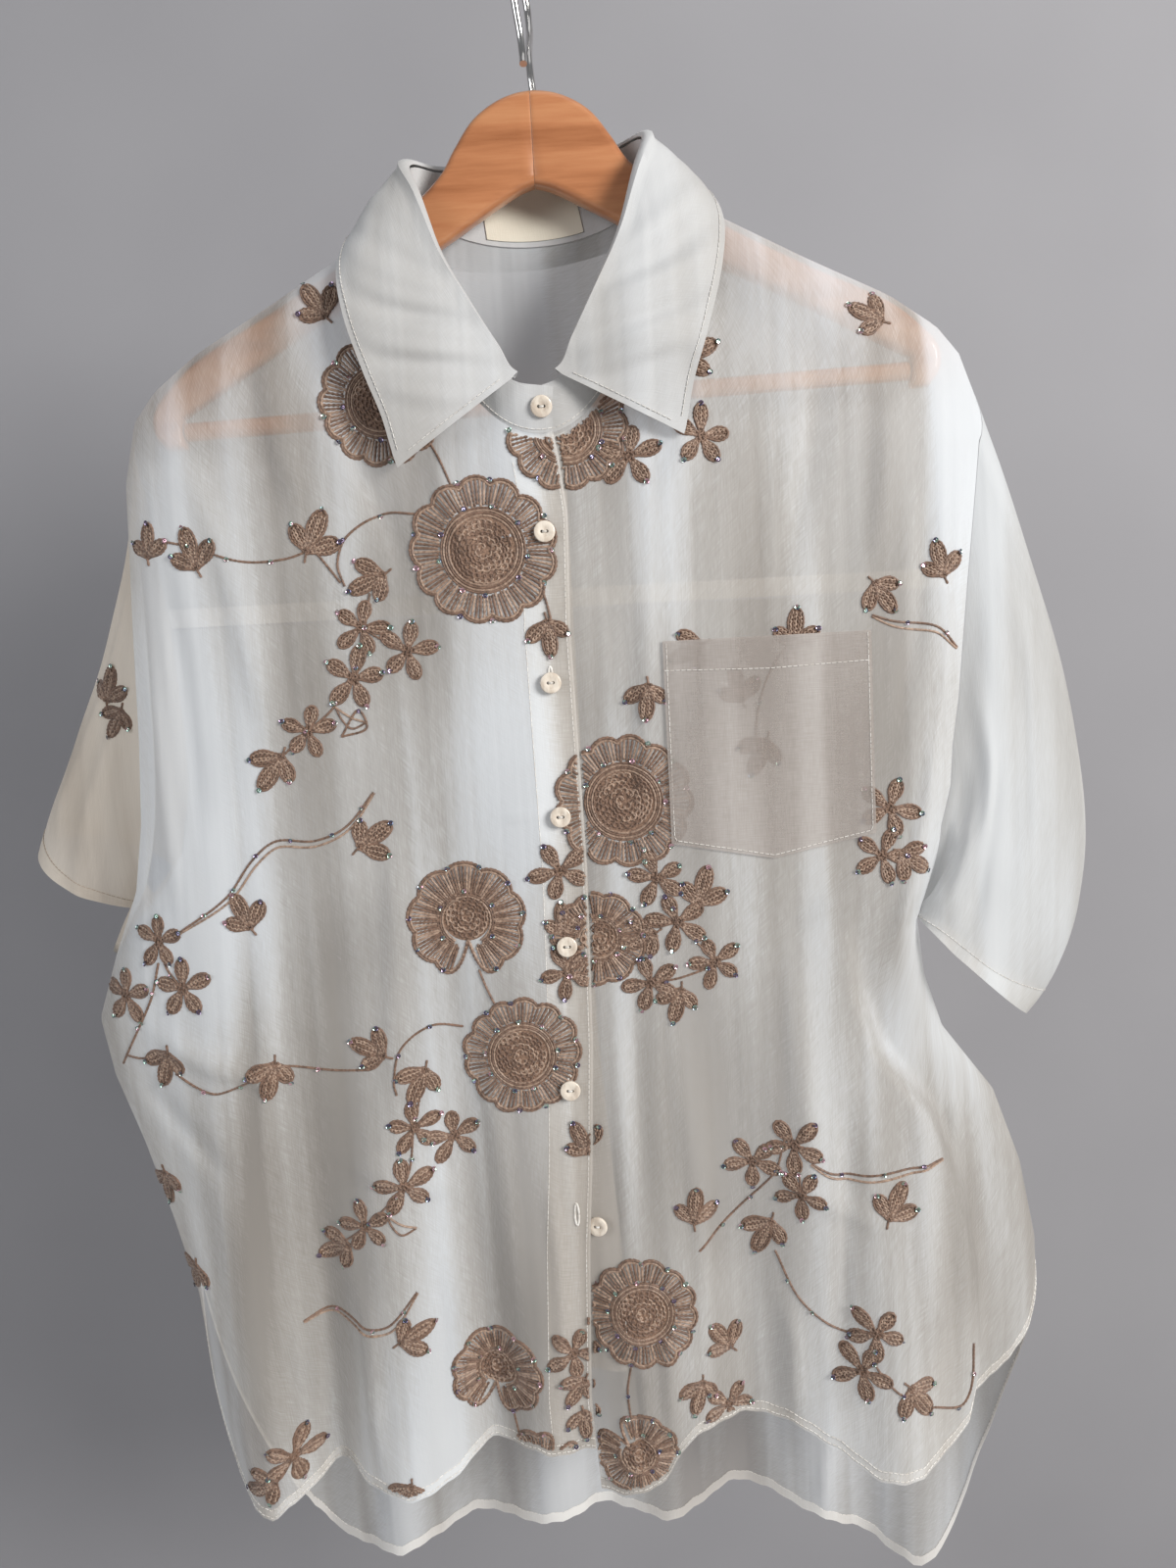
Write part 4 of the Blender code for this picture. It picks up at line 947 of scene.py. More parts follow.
# The sleeve beside the body carries one motif: its depth round that place, from its grid's nearest points
sleevePatch = {"left": -296, "right": -240, "foot": -420, "top": -342, "margin": 3}
sleeveOut = outwardNormals(sleeveGrids[left])
facingViewer = sleeveOut[..., 1] < -0.2
nearPoints, nearNormals = sleeveGrids[left][facingViewer] / mm, sleeveOut[facingViewer]
patchX = np.flatnonzero((reliefX > sleevePatch["left"]) & (reliefX < sleevePatch["right"]))
patchZ = np.flatnonzero((reliefZ > sleevePatch["foot"]) & (reliefZ < sleevePatch["top"]))
patchDepth = np.zeros((len(patchZ), len(patchX)))
for i, z in enumerate(reliefZ[patchZ]):
    for j, x in enumerate(reliefX[patchX]):
        k = np.argmin((nearPoints[:, 0] - x) ** 2 + (nearPoints[:, 2] - z) ** 2)
        point, out = nearPoints[k], nearNormals[k]
        patchDepth[i, j] = point[1] - (out[0] * (x - point[0]) + out[2] * (z - point[2])) / out[1]
reliefs["sleeve"] = np.zeros_like(reliefs[left])
reliefs["sleeve"][np.ix_(patchZ, patchX)] = withSlopes(patchDepth)


def relief(side, x, z):
    # Depth and both slopes of a front, read between the points of its grid
    across = np.clip((x - reliefX[0]) / reliefSizes["stepX"], 0, len(reliefX) - 1.001)
    up = np.clip((z - reliefZ[0]) / reliefSizes["stepZ"], 0, len(reliefZ) - 1.001)
    i, j = across.astype(int), up.astype(int)
    u, v = (across - i)[..., None], (up - j)[..., None]
    grid = reliefs[side]
    lower = grid[j, i] * (1 - u) + grid[j, i + 1] * u
    upper = grid[j + 1, i] * (1 - u) + grid[j + 1, i + 1] * u
    return lower * (1 - v) + upper * v


def onFront(side, x, z, out=0.0):
    # Points in metres on a front, moved out along its normal, and the normals
    x, z = np.asarray(x, float), np.asarray(z, float)
    found = relief(side, x, z)
    normal = np.stack([found[..., 1], -np.ones_like(x), found[..., 2]], -1)
    normal /= np.linalg.norm(normal, axis=-1, keepdims=True)
    return (np.stack([x, found[..., 0], z], -1) + normal * out) * mm, normal


hemAt = {}
for side, grid in ((left, lapFront), (right, underFront)):
    order = np.argsort(grid[-1, :, 0])
    hemAt[side] = (grid[-1, order, 0] / mm, grid[-1, order, 2] / mm)


# How far cords keep from the armholes, the plackets' edges and the hem
margins = {"armhole": 3, left: 1.2, right: 1.0, "hem": 4}


def allowed(side, x, z):
    # Where embroidery may lie on a front, or on the sleeve beside it
    if side == "sleeve":
        margin = sleevePatch["margin"]
        beside = (x < sleevePatch["right"] - margin) & (x > sleevePatch["left"] + margin)
        return beside & (z < sleevePatch["top"] - margin) & (z > sleevePatch["foot"] + margin)
    edge = table(edges, 1, z)
    flat = table(sections, 1, z)
    turn = np.minimum(table(armholes, armholeColumn[side, front], z), 90)
    inside = side * x < flat + (reach(side, z) - flat) * np.sin(np.radians(turn)) - margins["armhole"]
    inside &= (x < edge - margins[left]) if side == left else (x > edge + margins[right])
    inside &= z > np.interp(x, *hemAt[side]) + margins["hem"]
    down = np.clip((neck["side"] - z - neck["clear"]) / (neck["side"] - neck[front]), 0, 1)
    return inside & (np.abs(x - neck["x"]) >= (neck["half"] + neck["clear"]) * np.sqrt(1 - down**2))


carriers = {left: "Right", right: "Left", "sleeve": "Sleeve"}
frontThreads = {(side, tone): Threads() for side in carriers for tone in ("dark", "light")}
sequins = {side: [] for side in carriers}
pads = {side: Pads() for side in carriers}


# Kinds of cord: width, height, swelling of the knots, and distance between points
cords = {
    "rim": (1.6, 0.95, 0.3, 0.9), "innerRim": (1.4, 0.85, 0.3, 0.9), "ring": (1.2, 0.8, 0.3, 1.0),
    "ray": (1.4, 0.75, 0.32, 1.1), "curl": (1.05, 0.8, 0.25, 0.95), "smallCurl": (1.1, 1.0, 0.2, 0.95),
    "petalRim": (1.25, 0.85, 0.3, 1.05), "petalFill": (1.1, 0.85, 0.4, 0.85), "stem": (1.3, 0.9, 0.18, 1.05),
    "vine": (1.25, 0.8, 0.25, 1.05), "leaflet": (1.2, 0.8, 0.18, 1.05),
}
layers = {"pad": 0.16, "cord": 0.12, "sequin": 1.15}


def pad(grid):
    # grid: rows x columns x (x, z)
    rows, columns = grid.shape[:2]
    x, z = grid[..., 0].reshape(-1), grid[..., 1].reshape(-1)
    for side in carriers:
        keep = allowed(side, x, z)
        if keep.any():
            pads[side].add(onFront(side, x, z, layers["pad"])[0], rows, columns, keep)


def dense(points, step):
    points = np.asarray(points, float)
    run = runOf(points)
    return pointsAt(points, run, np.linspace(0, run[-1], max(int(run[-1] / step) + 1, 2)))


def stitch(points, kind, tone="dark"):
    # Lays a cord along a line of x and z, on whichever piece carries it
    width, height, chain, step = cords[kind]
    x, z = dense(points, step).T
    for side in carriers:
        ok = allowed(side, x, z)
        breaks = np.flatnonzero(np.diff(ok.astype(int))) + 1
        for piece in np.split(np.arange(len(x)), breaks):
            if len(piece) > 1 and ok[piece[0]]:
                spots, normals = onFront(side, x[piece], z[piece], layers["cord"])
                frontThreads[side, tone].add(spots, normals, width, height, chain)


def sequin(x, z, radius=1.5):
    for side in carriers:
        if bool(allowed(side, np.array([x]), np.array([z]))[0]):
            sequins[side].append((x, z, radius))
            return


def polar(x, z, radius, angle):
    return np.stack([x + radius * np.cos(angle), z + radius * np.sin(angle)], -1)


def curls(x, z, radius, gap=2.1, loop=1.5, turns=0.0):
    # A spiral of small loops, as dense free chain stitch
    length = math.pi * radius * radius / gap
    count = int(length / 0.62)
    part = np.linspace(0.02, 1, count)
    out = radius * np.sqrt(part)
    centre = polar(x, z, out, turns + 2 * np.pi * out / gap)
    phase = part * length / 3.3 * 2 * np.pi + 0.9 * np.sin(part * 37 + x)
    size = loop * (0.75 + 0.25 * np.sin(part * 53 + z))
    return centre + np.stack([np.cos(phase), np.sin(phase)], -1) * size[:, None]


def disc(x, z, radius, inner=0.0, around=48, rows=6):
    angle = np.linspace(0, 2 * np.pi, around + 1)[None, :]
    pad(polar(x, z, np.linspace(inner, radius, rows)[:, None], angle))


def curlyCentre(x, z, radius, turn):
    disc(x, z, radius * 1.02)
    spiral = curls(x, z, radius * 0.93, turns=turn)
    parts = max(int(len(spiral) / 26), 1)
    for i, piece in enumerate(np.array_split(spiral, parts)):
        stitch(piece, "curl", "light" if (i * 7) % 5 < 2 else "dark")


def rims(x, z, outline, angle):
    stitch(polar(x, z, outline, angle), "rim")
    stitch(polar(x, z, outline - 1.5, angle), "innerRim", "light")


def rays(x, z, start, inner, outers, count, first, last):
    # Cords that run outwards side by side, in mixed tones
    for i in range(count):
        angle = first + (last - first) * i / count
        outer = float(np.interp(i / count, np.linspace(0, 1, len(outers)), outers))
        inset = inner + 0.7 * math.sin(i * 2.3 + z)
        tone = "light" if (i * 5 + int(abs(x))) % 7 < 3 else "dark"
        stitch([polar(x, z, out, angle) for out in (inset, outer - start)], "ray", tone)


def roundFlower(x, z, radius, turn=0.0, lobes=13):
    angle = turn + np.linspace(0, 2 * np.pi, 190)
    scallop = 0.885 + 0.115 * np.abs(np.cos(lobes * (angle - turn) / 2)) ** 0.6
    outline = radius * scallop * (1 + 0.02 * np.sin(angle * 2 + x) + 0.012 * np.sin(angle * 5 + z))
    rims(x, z, outline, angle)
    rays(x, z, 1.6, radius * 0.60, outline, int(radius * 2.5), turn, turn + 2 * np.pi)
    for i, share in enumerate((0.47, 0.505, 0.54, 0.575)):
        stitch(polar(x, z, radius * share, angle), "ring", "dark" if i % 2 else "light")
    disc(x, z, radius * 0.585, radius * 0.45, rows=3)
    curlyCentre(x, z, radius * 0.46, turn)
    for i in range(lobes):
        if i % 3 != 1:
            sequin(*polar(x, z, radius * 0.95, turn + np.pi / lobes + 2 * np.pi * i / lobes))
    for i in range(9):
        sequin(*polar(x, z, radius * 0.61, turn + 0.4 + 2 * np.pi * i / 9 + 0.1 * math.sin(i * 3)), 1.4)


def fanFlower(x, z, radius, notch=-90.0, lobes=9):
    gap = math.radians(notch)
    angle = gap + np.linspace(0, 2 * np.pi, 170)
    off = angle - gap - np.pi
    shape = 0.91 + 0.11 * np.abs(np.cos(lobes * off / 2)) ** 0.6
    outline = radius * shape * (1 - 0.58 * np.exp(-(((np.pi - np.abs(off)) / 0.21) ** 2)))
    rims(x, z, outline, angle)
    rays(x, z, 1.6, radius * 0.47, outline[8:-8], int(radius * 2.5), angle[8], angle[-9])
    curlyCentre(*polar(x, z, radius * 0.06, gap + np.pi), radius * 0.41, notch)
    arc = gap + np.linspace(0.55, 2 * np.pi - 0.55, 90)
    for share in (0.42, 0.46, 0.50):
        stitch(polar(x, z, radius * share, arc), "ring", "dark" if share > 0.45 else "light")
    for i in range(lobes + 1):
        sequin(*polar(x, z, radius * 0.98, gap + 0.5 + (2 * np.pi - 1.0) * i / lobes))
    for i in range(5):
        sequin(*polar(x, z, radius * 0.52, gap + 1.0 + (2 * np.pi - 2.0) * i / 4), 1.3)


def petal(x, z, length, width, angle, tip=True):
    # A rounded oval from its base outwards, filled with cords that follow its length
    part = np.linspace(0, 1, 17)
    tipRound = np.sqrt(np.maximum(1 - ((part - 0.6) / 0.4) ** 2, 0))
    side = width / 2 * np.where(part > 0.6, tipRound, 0.26 + 0.74 * ease(part / 0.6))
    c, s = math.cos(angle), math.sin(angle)

    def at(out, off):
        return np.stack([x + out * length * c - off * s, z + out * length * s + off * c], -1)

    stitch(np.concatenate([at(part, side), at(part, -side)[::-1]]), "petalRim")
    pad(np.stack([at(part, side * share) for share in (-1, -0.4, 0.4, 1)], axis=1))
    count = max(int(width / 1.45), 3)
    for i in range(count):
        share = (i + 0.5) / count * 2 - 1
        inner = part[2:-1] * (0.96 - 0.06 * (i % 2))
        inner = np.linspace(inner[0], inner[-1], 2 + int(length / 0.8))
        off = np.interp(inner, part, side) * share * 0.82 + 0.5 * np.sin(inner * length * 2.6 + i * 2.1)
        stitch(at(inner, off), "petalFill", "light" if (i * 3 + int(abs(x) + abs(z))) % 5 < 3 else "dark")
    if tip:
        sequin(*at(1.0, 0.0))


def smallFlower(x, z, radius, turn=0.0):
    for i in range(5):
        angle = turn + 2 * np.pi * (i + 0.08 * math.sin(i * 3 + x)) / 5
        length = radius * (0.93 + 0.07 * math.sin(i * 2 + z)) - 1.6
        petal(*polar(x, z, 1.6, angle), length, radius * 0.43, angle, i % 2 == 0 or z % 2)
    disc(x, z, 2.8, around=16, rows=3)
    stitch(curls(x, z, 2.6, 2.0, 1.2, turn), "smallCurl")


def sprig(x, z, size, turn):
    foot = polar(x, z, -size * 0.55, turn)
    for spread, length, wide in ((-0.82, 1.02, 0.50), (0.05, 1.30, 0.52), (0.92, 0.86, 0.46)):
        petal(*foot, size * length, size * wide, turn + spread)
    stitch([polar(*foot, -size * 0.32, turn + 0.3), foot], "stem")


def curve(points, step=2.0):
    # A smooth line through a few points
    points = np.array(points, float)
    keys = runAlong(points)
    at = np.linspace(0, 1, max(int(np.linalg.norm(np.diff(points, axis=0), axis=1).sum() / step), 3))
    return np.array([[catmull(list(keys), list(points[:, axis]), t) for axis in (0, 1)] for t in at])


def vine(points, double=False):
    line = curve(points)
    stitch(line, "vine")
    for i in range(9, len(line) - 4, 11):
        sequin(line[i, 0], line[i, 1], 1.3)
    if double:
        onward = np.gradient(line, axis=0)
        onward /= np.maximum(np.linalg.norm(onward, axis=1, keepdims=True), 1e-9)
        gap = 3.6 * np.sin(np.pi * np.linspace(0.06, 0.94, len(line)))[:, None]
        stitch(line - np.stack([-onward[:, 1], onward[:, 0]], -1) * gap, "vine", "light")


# Motif places follow the photo, in millimetres: x, z and size
roundFlowers = (
    (-35, -307, 39, 0.2), (33, -446, 37, 0.9), (-31, -585, 33, 0.5), (29, -742, 32, 1.3),
    (13, -246, 32, 0.0), (-84, -227, 33, 0.7),
)
fanFlowers = (
    (-57, -507, 32, -90), (-57, -777, 26, -100), (22, -828, 24, 130), (-32, -831, 22, 60),
    (15, -522, 26, 200),
)
smallFlowers = (
    (-103, -344), (-79, -358), (-109, -371), (-136, -398), (83, -254), (45, -262), (-230, -511),
    (-254, -543), (-217, -537),
    (-94, -623), (-73, -632), (-101, -655), (-125, -678), (49, -489), (59, -514), (79, -538), (43, -548),
    (-4, -482), (-3, -539),
    (96, -657), (119, -646), (122, -675), (160, -754), (152, -778), (77, -807), (-12, -762), (178, -457),
    (173, -483), (-176, -813),
)
# x, z, size, turn in degrees
sprigs = (
    (-124, -294, 17, 60), (-97, -320, 15, 200), (-190, -299, 16, 100), (-157, -418, 16, 230),
    (-215, -293, 13, 80),
    (83, -211, 15, 20), (74, -496, 16, 70), (-115, -576, 15, 150), (-90, -598, 15, 240),
    (-144, -694, 15, 200),
    (-232, -582, 15, 250), (101, -701, 16, 240), (183, -795, 16, 300), (75, -764, 15, 120),
    (210, -325, 14, 100),
    (177, -342, 14, 300), (175, -195, 14, 150), (-115, -174, 15, 120), (-105, -458, 16, 30),
    (-179, -496, 15, 110),
    (-101, -742, 15, 20), (174, -680, 16, 60), (-171, -589, 15, 250), (62, -680, 15, 80), (-3, -354, 14, 270),
    (0, -636, 14, 110), (48, -391, 14, 260), (-4, -510, 13, 90), (39, -523, 14, 200), (57, -560, 14, 250),
    (-263, -370, 15, 70), (-260, -390, 13, 235),
    (190, -487, 14, 320), (98, -386, 14, 100), (108, -424, 15, 240), (-111, -838, 14, 250),
    (-243, -658, 14, 270), (-230, -711, 14, 250), (-193, -826, 14, 200),
    (130, -358, 15, 80), (72, -366, 14, 200), (-11, -785, 13, 230), (-8, -806, 12, 270), (59, -795, 14, 250),
)
vines = (
    (((-70, -286), (-87, -285), (-107, -296), (-113, -310), (-110, -322)), False),
    (((-125, -302), (-119, -310), (-112, -320)), False),
    (((-210, -292), (-190, -297), (-164, -306), (-141, -306), (-124, -301)), False),
    (((-217, -506), (-188, -487), (-172, -467), (-158, -457), (-137, -458), (-119, -451),
    (-103, -433)), True),
    (((-231, -523), (-238, -545), (-261, -584)), False),
    (((-258, -578), (-248, -579), (-238, -577)), False),
    (((-226, -586), (-213, -593), (-200, -596), (-175, -586)), False),
    (((-164, -583), (-140, -587), (-116, -588)), False),
    (((-63, -568), (-81, -566), (-98, -577), (-103, -596), (-102, -603)), False),
    (((-166, -736), (-147, -733), (-124, -738), (-114, -735), (-98, -717)), True),
    (((128, -656), (140, -663), (159, -664), (184, -661), (203, -659)), True),
    (((63, -706), (88, -684), (108, -663), (114, -643)), False),
    (((107, -711), (120, -740), (140, -756), (157, -757)), False),
    (((191, -803), (211, -810), (218, -800), (220, -773)), False),
    (((171, -352), (183, -356), (207, -360), (219, -372)), True),
    (((-61, -247), (-55, -259), (-50, -272)), False),
    (((-6, -326), (-3, -336), (-1, -346)), False),
    (((-52, -535), (-49, -544), (-44, -556)), False),
    (((21, -772), (18, -788), (19, -806)), False),
    (((-50, -798), (-48, -808), (-46, -817)), False),
    (((-97, -326), (-101, -344), (-108, -368), (-122, -387), (-136, -398), (-152, -412)), False),
    (((-103, -344), (-91, -352), (-79, -358)), False),
    (((-88, -600), (-94, -623), (-100, -652), (-125, -678), (-140, -690)), False),
    (((-94, -623), (-84, -629), (-73, -632)), False),
    (((49, -489), (56, -503), (59, -514), (70, -527), (79, -538), (62, -545), (43, -548)), False),
    (((160, -754), (157, -768), (170, -788), (183, -795)), False),
    (((-230, -511), (-226, -526), (-217, -537)), False),
    (((96, -657), (108, -650), (119, -646), (121, -662), (122, -675)), False),
    (((-118, -402), (-108, -388), (-104, -398), (-118, -402)), False),
    (((130, -360), (116, -378), (108, -400), (106, -424)), False),
)
for item in roundFlowers:
    roundFlower(*item)
for item in fanFlowers:
    fanFlower(*item)
for i, (x, z) in enumerate(smallFlowers):
    smallFlower(x, z, 16.0 + (i % 3), i * 1.3)
for x, z, size, turn in sprigs:
    sprig(x, z, size * 1.08, math.radians(turn))
for points, double in vines:
    vine(points, double)
for x, z in ((-113, -394), (-105, -679)):
    stitch(curve(((x - 7, z + 8), (x - 4, z + 1), (x + 1, z - 4), (x + 9, z - 1))), "leaflet")
    stitch(curve(((x - 7, z + 8), (x + 1, z + 2), (x + 9, z - 1))), "leaflet", "light")
for (side, tone), threads in frontThreads.items():
    finish = threadDark if tone == "dark" else threadLight
    threads.build("embroidery" + carriers[side] + tone.capitalize(), finish, "embroidered_cloth")
for side, patches in pads.items():
    looseOf(patches, "threadPads" + carriers[side], threadBase)

# Sequins: small dishes, each turned a little by chance; share of the radius and rise of each ring
sequinRings = ((0.28, 0.10), (0.62, 0.0), (1.0, 0.34))
sequinSides, sequinTilt = 10, 0.22


def sequinMesh(name, side):
    points, faces = [], []
    corners = range(sequinSides)
    for x, z, radius in sequins[side]:
        spot, normal = (values[0] for values in onFront(side, [x], [z]))
        normal = normal + chance.normal(0, sequinTilt, 3)
        normal /= np.linalg.norm(normal)
        first = np.cross(normal, (0, 0, 1.0))
        first /= np.linalg.norm(first)
        second = np.cross(normal, first)
        base = len(points)
        for ring, rise in sequinRings:
            for k in corners:
                angle = 2 * math.pi * k / sequinSides
                offset = (first * math.cos(angle) + second * math.sin(angle)) * radius * ring * mm
                points.append(spot + normal * (layers["sequin"] + rise) * mm + offset)
        for inner in (base, base + sequinSides):
            outer = inner + sequinSides
            for k in corners:
                n = (k + 1) % sequinSides
                faces.append((inner + k, inner + n, outer + n, outer + k))
    obj = loose(name, points, faces, sequinFilm)
    print(name, len(sequins[side]), "sequins")


for side in carriers:
    sequinMesh("sequins" + carriers[side], side)

# Sewing: size of a stitch, and how far each line lies from its edge
sewingSizes = {
    "first": 0.4, "length": 2.3, "gap": 0.7, "width": 0.42, "height": 0.26, "out": 0.08, "hems": (2.0, 6.6),
    "placket": 2.2, "facing": 24.5, "pocket": 1.8, "pocketOut": 0.35, "leaf": 3.4, "leafOut": 0.6,
    "standOut": 0.55,
}
seams, shadedSeams = Threads(), Threads()


def dashes(line, normals, holder=seams):
    line, normals = np.asarray(line), np.asarray(normals)
    run = runOf(line) / mm
    at, length = sewingSizes["first"], sewingSizes["length"]
    while at + length < run[-1]:
        spots = np.array([at, at + length / 2, at + length])
        facings = pointsAt(normals, run, spots)
        facings /= np.linalg.norm(facings, axis=1, keepdims=True)
        raised = pointsAt(line, run, spots) + facings * sewingSizes["out"] * mm
        holder.add(raised, facings, sewingSizes["width"], sewingSizes["height"])
        at += length + sewingSizes["gap"]


def bothFaces(line, normals, holder=seams):
    dashes(line, normals, holder)
    dashes(line, -normals, holder)


def seamOnFront(side, xs, zs, out=0.0):
    line = dense(np.stack([xs, zs], -1), 3)
    dashes(*onFront(side, line[:, 0], line[:, 1], out))


for grid, y in ((lapFront, -1), (underFront, -1), (backGrid, 1)):
    normals = toward(gridNormals(grid), y)
    for distance in sewingSizes["hems"]:
        bothFaces(insetRow(grid, distance * mm), normals[-2])

lapZ, underZ = np.linspace(-262, -815, 70), np.linspace(-745, -780, 8)
seamOnFront(left, table(edges, 1, lapZ) - sewingSizes["facing"], lapZ)
seamOnFront(left, table(edges, 1, lapZ) - sewingSizes["placket"], lapZ)
seamOnFront(right, table(edges, 2, underZ) + sewingSizes["facing"], underZ)
inset = sewingSizes["pocket"]
mouth, corner = pocketSizes["top"] - 1, pocketSizes["foot"] + inset
pocketSides = (pocketSizes["left"] + inset, pocketSizes["right"] - inset)
pocketSeamX = (pocketSides[0], pocketSides[0], pocketMiddle, pocketSides[1], pocketSides[1])
pocketSeamZ = (mouth, corner, corner - pocketSizes["point"], corner, mouth)
seamOnFront(right, pocketSeamX, pocketSeamZ, pocketSizes["out"] + sewingSizes["pocketOut"])
frontOut = np.array((0, -1.0, 0))
hemLine = pocketGrid[pocketSizes["hemRows"] - 1]
dashes(hemLine + frontOut * sewingSizes["pocketOut"] * mm, np.tile(frontOut, (len(hemLine), 1)))
bothFaces(yokeGrid[-3], toward(gridNormals(yokeGrid), 1)[-3])
# The sleeve behind the body takes the darker thread, painted shade
for side, holder in ((right, seams), (left, shadedSeams)):
    row = -sleeveSizes["hemRows"]
    ring, facings = sleeveGrids[side][row], outwardNormals(sleeveGrids[side])[row]
    bothFaces(np.concatenate([ring, ring[:1]]), np.concatenate([facings, facings[:1]]), holder)


def outOfNeck(grid, z):
    # Unit normals of the collar's cloth, away from the neck's middle at a height
    normals = gridNormals(grid)
    middle = neckMiddle + np.array((0, 0, z * mm))
    return normals * np.sign((normals * (grid - middle)).sum(-1, keepdims=True))


leafOut = outOfNeck(leafGrid, -170)
raised = leafOut * sewingSizes["leafOut"] * mm
dashes((insetRow(leafGrid, sewingSizes["leaf"] * mm) + raised[-4])[3:-3], leafOut[-4][3:-3])
for column, last in ((2, False), (-3, True)):
    line = insetColumn(leafGrid, sewingSizes["leaf"] * mm, last) + raised[:, column]
    dashes(line[8:-3], leafOut[8:-3, column])
standFacing = outOfNeck(standGrid, -150)[1]
dashes(standGrid[1] + standFacing * sewingSizes["standOut"] * mm, standFacing)
seams.build("seamStitches", sewing)
shadedSeams.build("sleeveStitches", sewingShaded)
print("sewing")


# Buttons, with a dished face, two holes and thread
buttonSizes = {
    "radius": 5.7, "thick": 2.0, "rim": 0.7, "dish": 9, "dishAt": 9.35, "holes": 1.35, "hole": 0.85,
    "sharp": 38, "cutter": 6,
}
# The thread through a button's holes: strands side by side, and their way over the bridge between the holes
strandsAside = (-0.3, 0.0, 0.3)
bridge = ((-1.4, -0.6), (-1.0, 0.75), (0, 0.85), (1.0, 0.75), (1.4, -0.6))


def buttonAt(name, node):
    radius, thick, dish, hole = (buttonSizes[key] * mm for key in ("radius", "thick", "dish", "hole"))
    points = np.array([v.co for v in nodes[node].data.vertices])
    middle = points.mean(axis=0)
    _, _, axes = np.linalg.svd(points - middle)
    facingOut = axes[2] * (-1 if axes[2][1] > 0 else 1)
    bpy.ops.object.select_all(action="DESELECT")
    bpy.ops.mesh.primitive_cylinder_add(vertices=44, radius=radius, depth=thick)
    body = bpy.context.object
    body.name = body.data.name = name
    bevel = body.modifiers.new("rim", "BEVEL")
    bevel.width, bevel.segments, bevel.limit_method = buttonSizes["rim"] * mm, 3, "ANGLE"
    place = (0, 0, buttonSizes["dishAt"] * mm)
    bpy.ops.mesh.primitive_uv_sphere_add(segments=40, ring_count=24, radius=dish, location=place)
    cutters = [bpy.context.object]
    for x in (-buttonSizes["holes"], buttonSizes["holes"]):
        place, deep = (x * mm, 0, 0), buttonSizes["cutter"] * mm
        bpy.ops.mesh.primitive_cylinder_add(vertices=16, radius=hole, depth=deep, location=place)
        cutters.append(bpy.context.object)
    for cutter in cutters:
        cut = body.modifiers.new("cut", "BOOLEAN")
        cut.operation, cut.object, cut.solver = "DIFFERENCE", cutter, "EXACT"
    bpy.context.view_layer.update()
    baked = bpy.data.meshes.new_from_object(body.evaluated_get(bpy.context.evaluated_depsgraph_get()))
    body.modifiers.clear()
    body.data = baked
    for cutter in cutters:
        bpy.data.objects.remove(cutter)
    turn = Vector(facingOut).to_track_quat("Z", "Y").to_matrix().to_4x4()
    turn.translation = Vector(middle)
    baked.transform(turn)
    baked.materials.clear()
    baked.materials.append(pearl)
    baked.shade_smooth()
    baked.set_sharp_from_angle(angle=math.radians(buttonSizes["sharp"]))
    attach(body, "root")
    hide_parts(node)
    return middle, facingOut, np.array(turn.to_3x3())


buttonThreads = Threads()
for number in range(1, 8):
    middle, facingOut, turn = buttonAt(f"shirtButton{number}", f"button_{number}")
    for aside in strandsAside:
        points = np.array([turn @ np.array((x * mm, aside * mm, rise * mm)) + middle for x, rise in bridge])
        buttonThreads.add(points, np.tile(facingOut, (len(bridge), 1)), 0.4, 0.3)
buttonThreads.build("buttonThreads", sewing)

# Buttonholes on the lap: height, distance in from its edge, half length; the lowest is smaller, further out
holeSizes = {"halfWide": 1.15, "above": 1.5, "width": 1.1, "height": 0.45, "knots": 0.25, "beat": 0.9}
holePlaces = (
    (-299, 12.5, 7.2), (-379, 12.5, 7.2), (-452, 12.5, 7.2), (-524, 12.5, 7.2), (-606, 12.5, 7.2),
    (-681, 8, 6.4),
)
holeThreads = Threads()
angle = np.linspace(0, 2 * np.pi, 40)
for z, inset, halfLong in holePlaces:
    ovalX = table(edges, 1, z) - inset + holeSizes["halfWide"] * np.cos(angle)
    ovalZ = z + holeSizes["above"] + halfLong * np.sin(angle)
    points, normals = onFront(left, ovalX, ovalZ, 0.1)
    holeThreads.add(points, normals, *(holeSizes[key] for key in ("width", "height", "knots", "beat")))
holeThreads.build("buttonholes", sewing)
print("buttons")

# Hanger arms: the same outline as the CAD arms, smoothed, in millimetres from the wood's top at the mitre
armSizes = {"thick": 13, "edge": 4.3, "mitre": 0.1, "groove": 0.45, "step": 2.6}
armUpper = (
    (-16, -3), (0, 0), (16, -3), (31, -12), (42, -26), (50, -38), (65, -51), (100, -75), (144, -99),
    (189, -122),
    (209, -139), (215, -148), (215, -159), (209, -167),
)
armLower = ((199.2, -151), (176, -138), (120, -107), (58, -77), (24, -58), (8, -49.5), (0, -47))


def roundEdges(obj, chosen, width, segments):
    # Bevels the edges that a test picks by the places of their two ends
    for edge in obj.data.edges:
        first, second = (obj.data.vertices[index].co / mm for index in edge.vertices)
        edge.select = bool(chosen(first, second))
    bpy.ops.object.mode_set(mode="EDIT")
    bpy.ops.mesh.bevel(offset=width * mm, segments=segments, affect="EDGES", clamp_overlap=False)
    bpy.ops.mesh.select_all(action="DESELECT")
    bpy.ops.object.mode_set(mode="OBJECT")


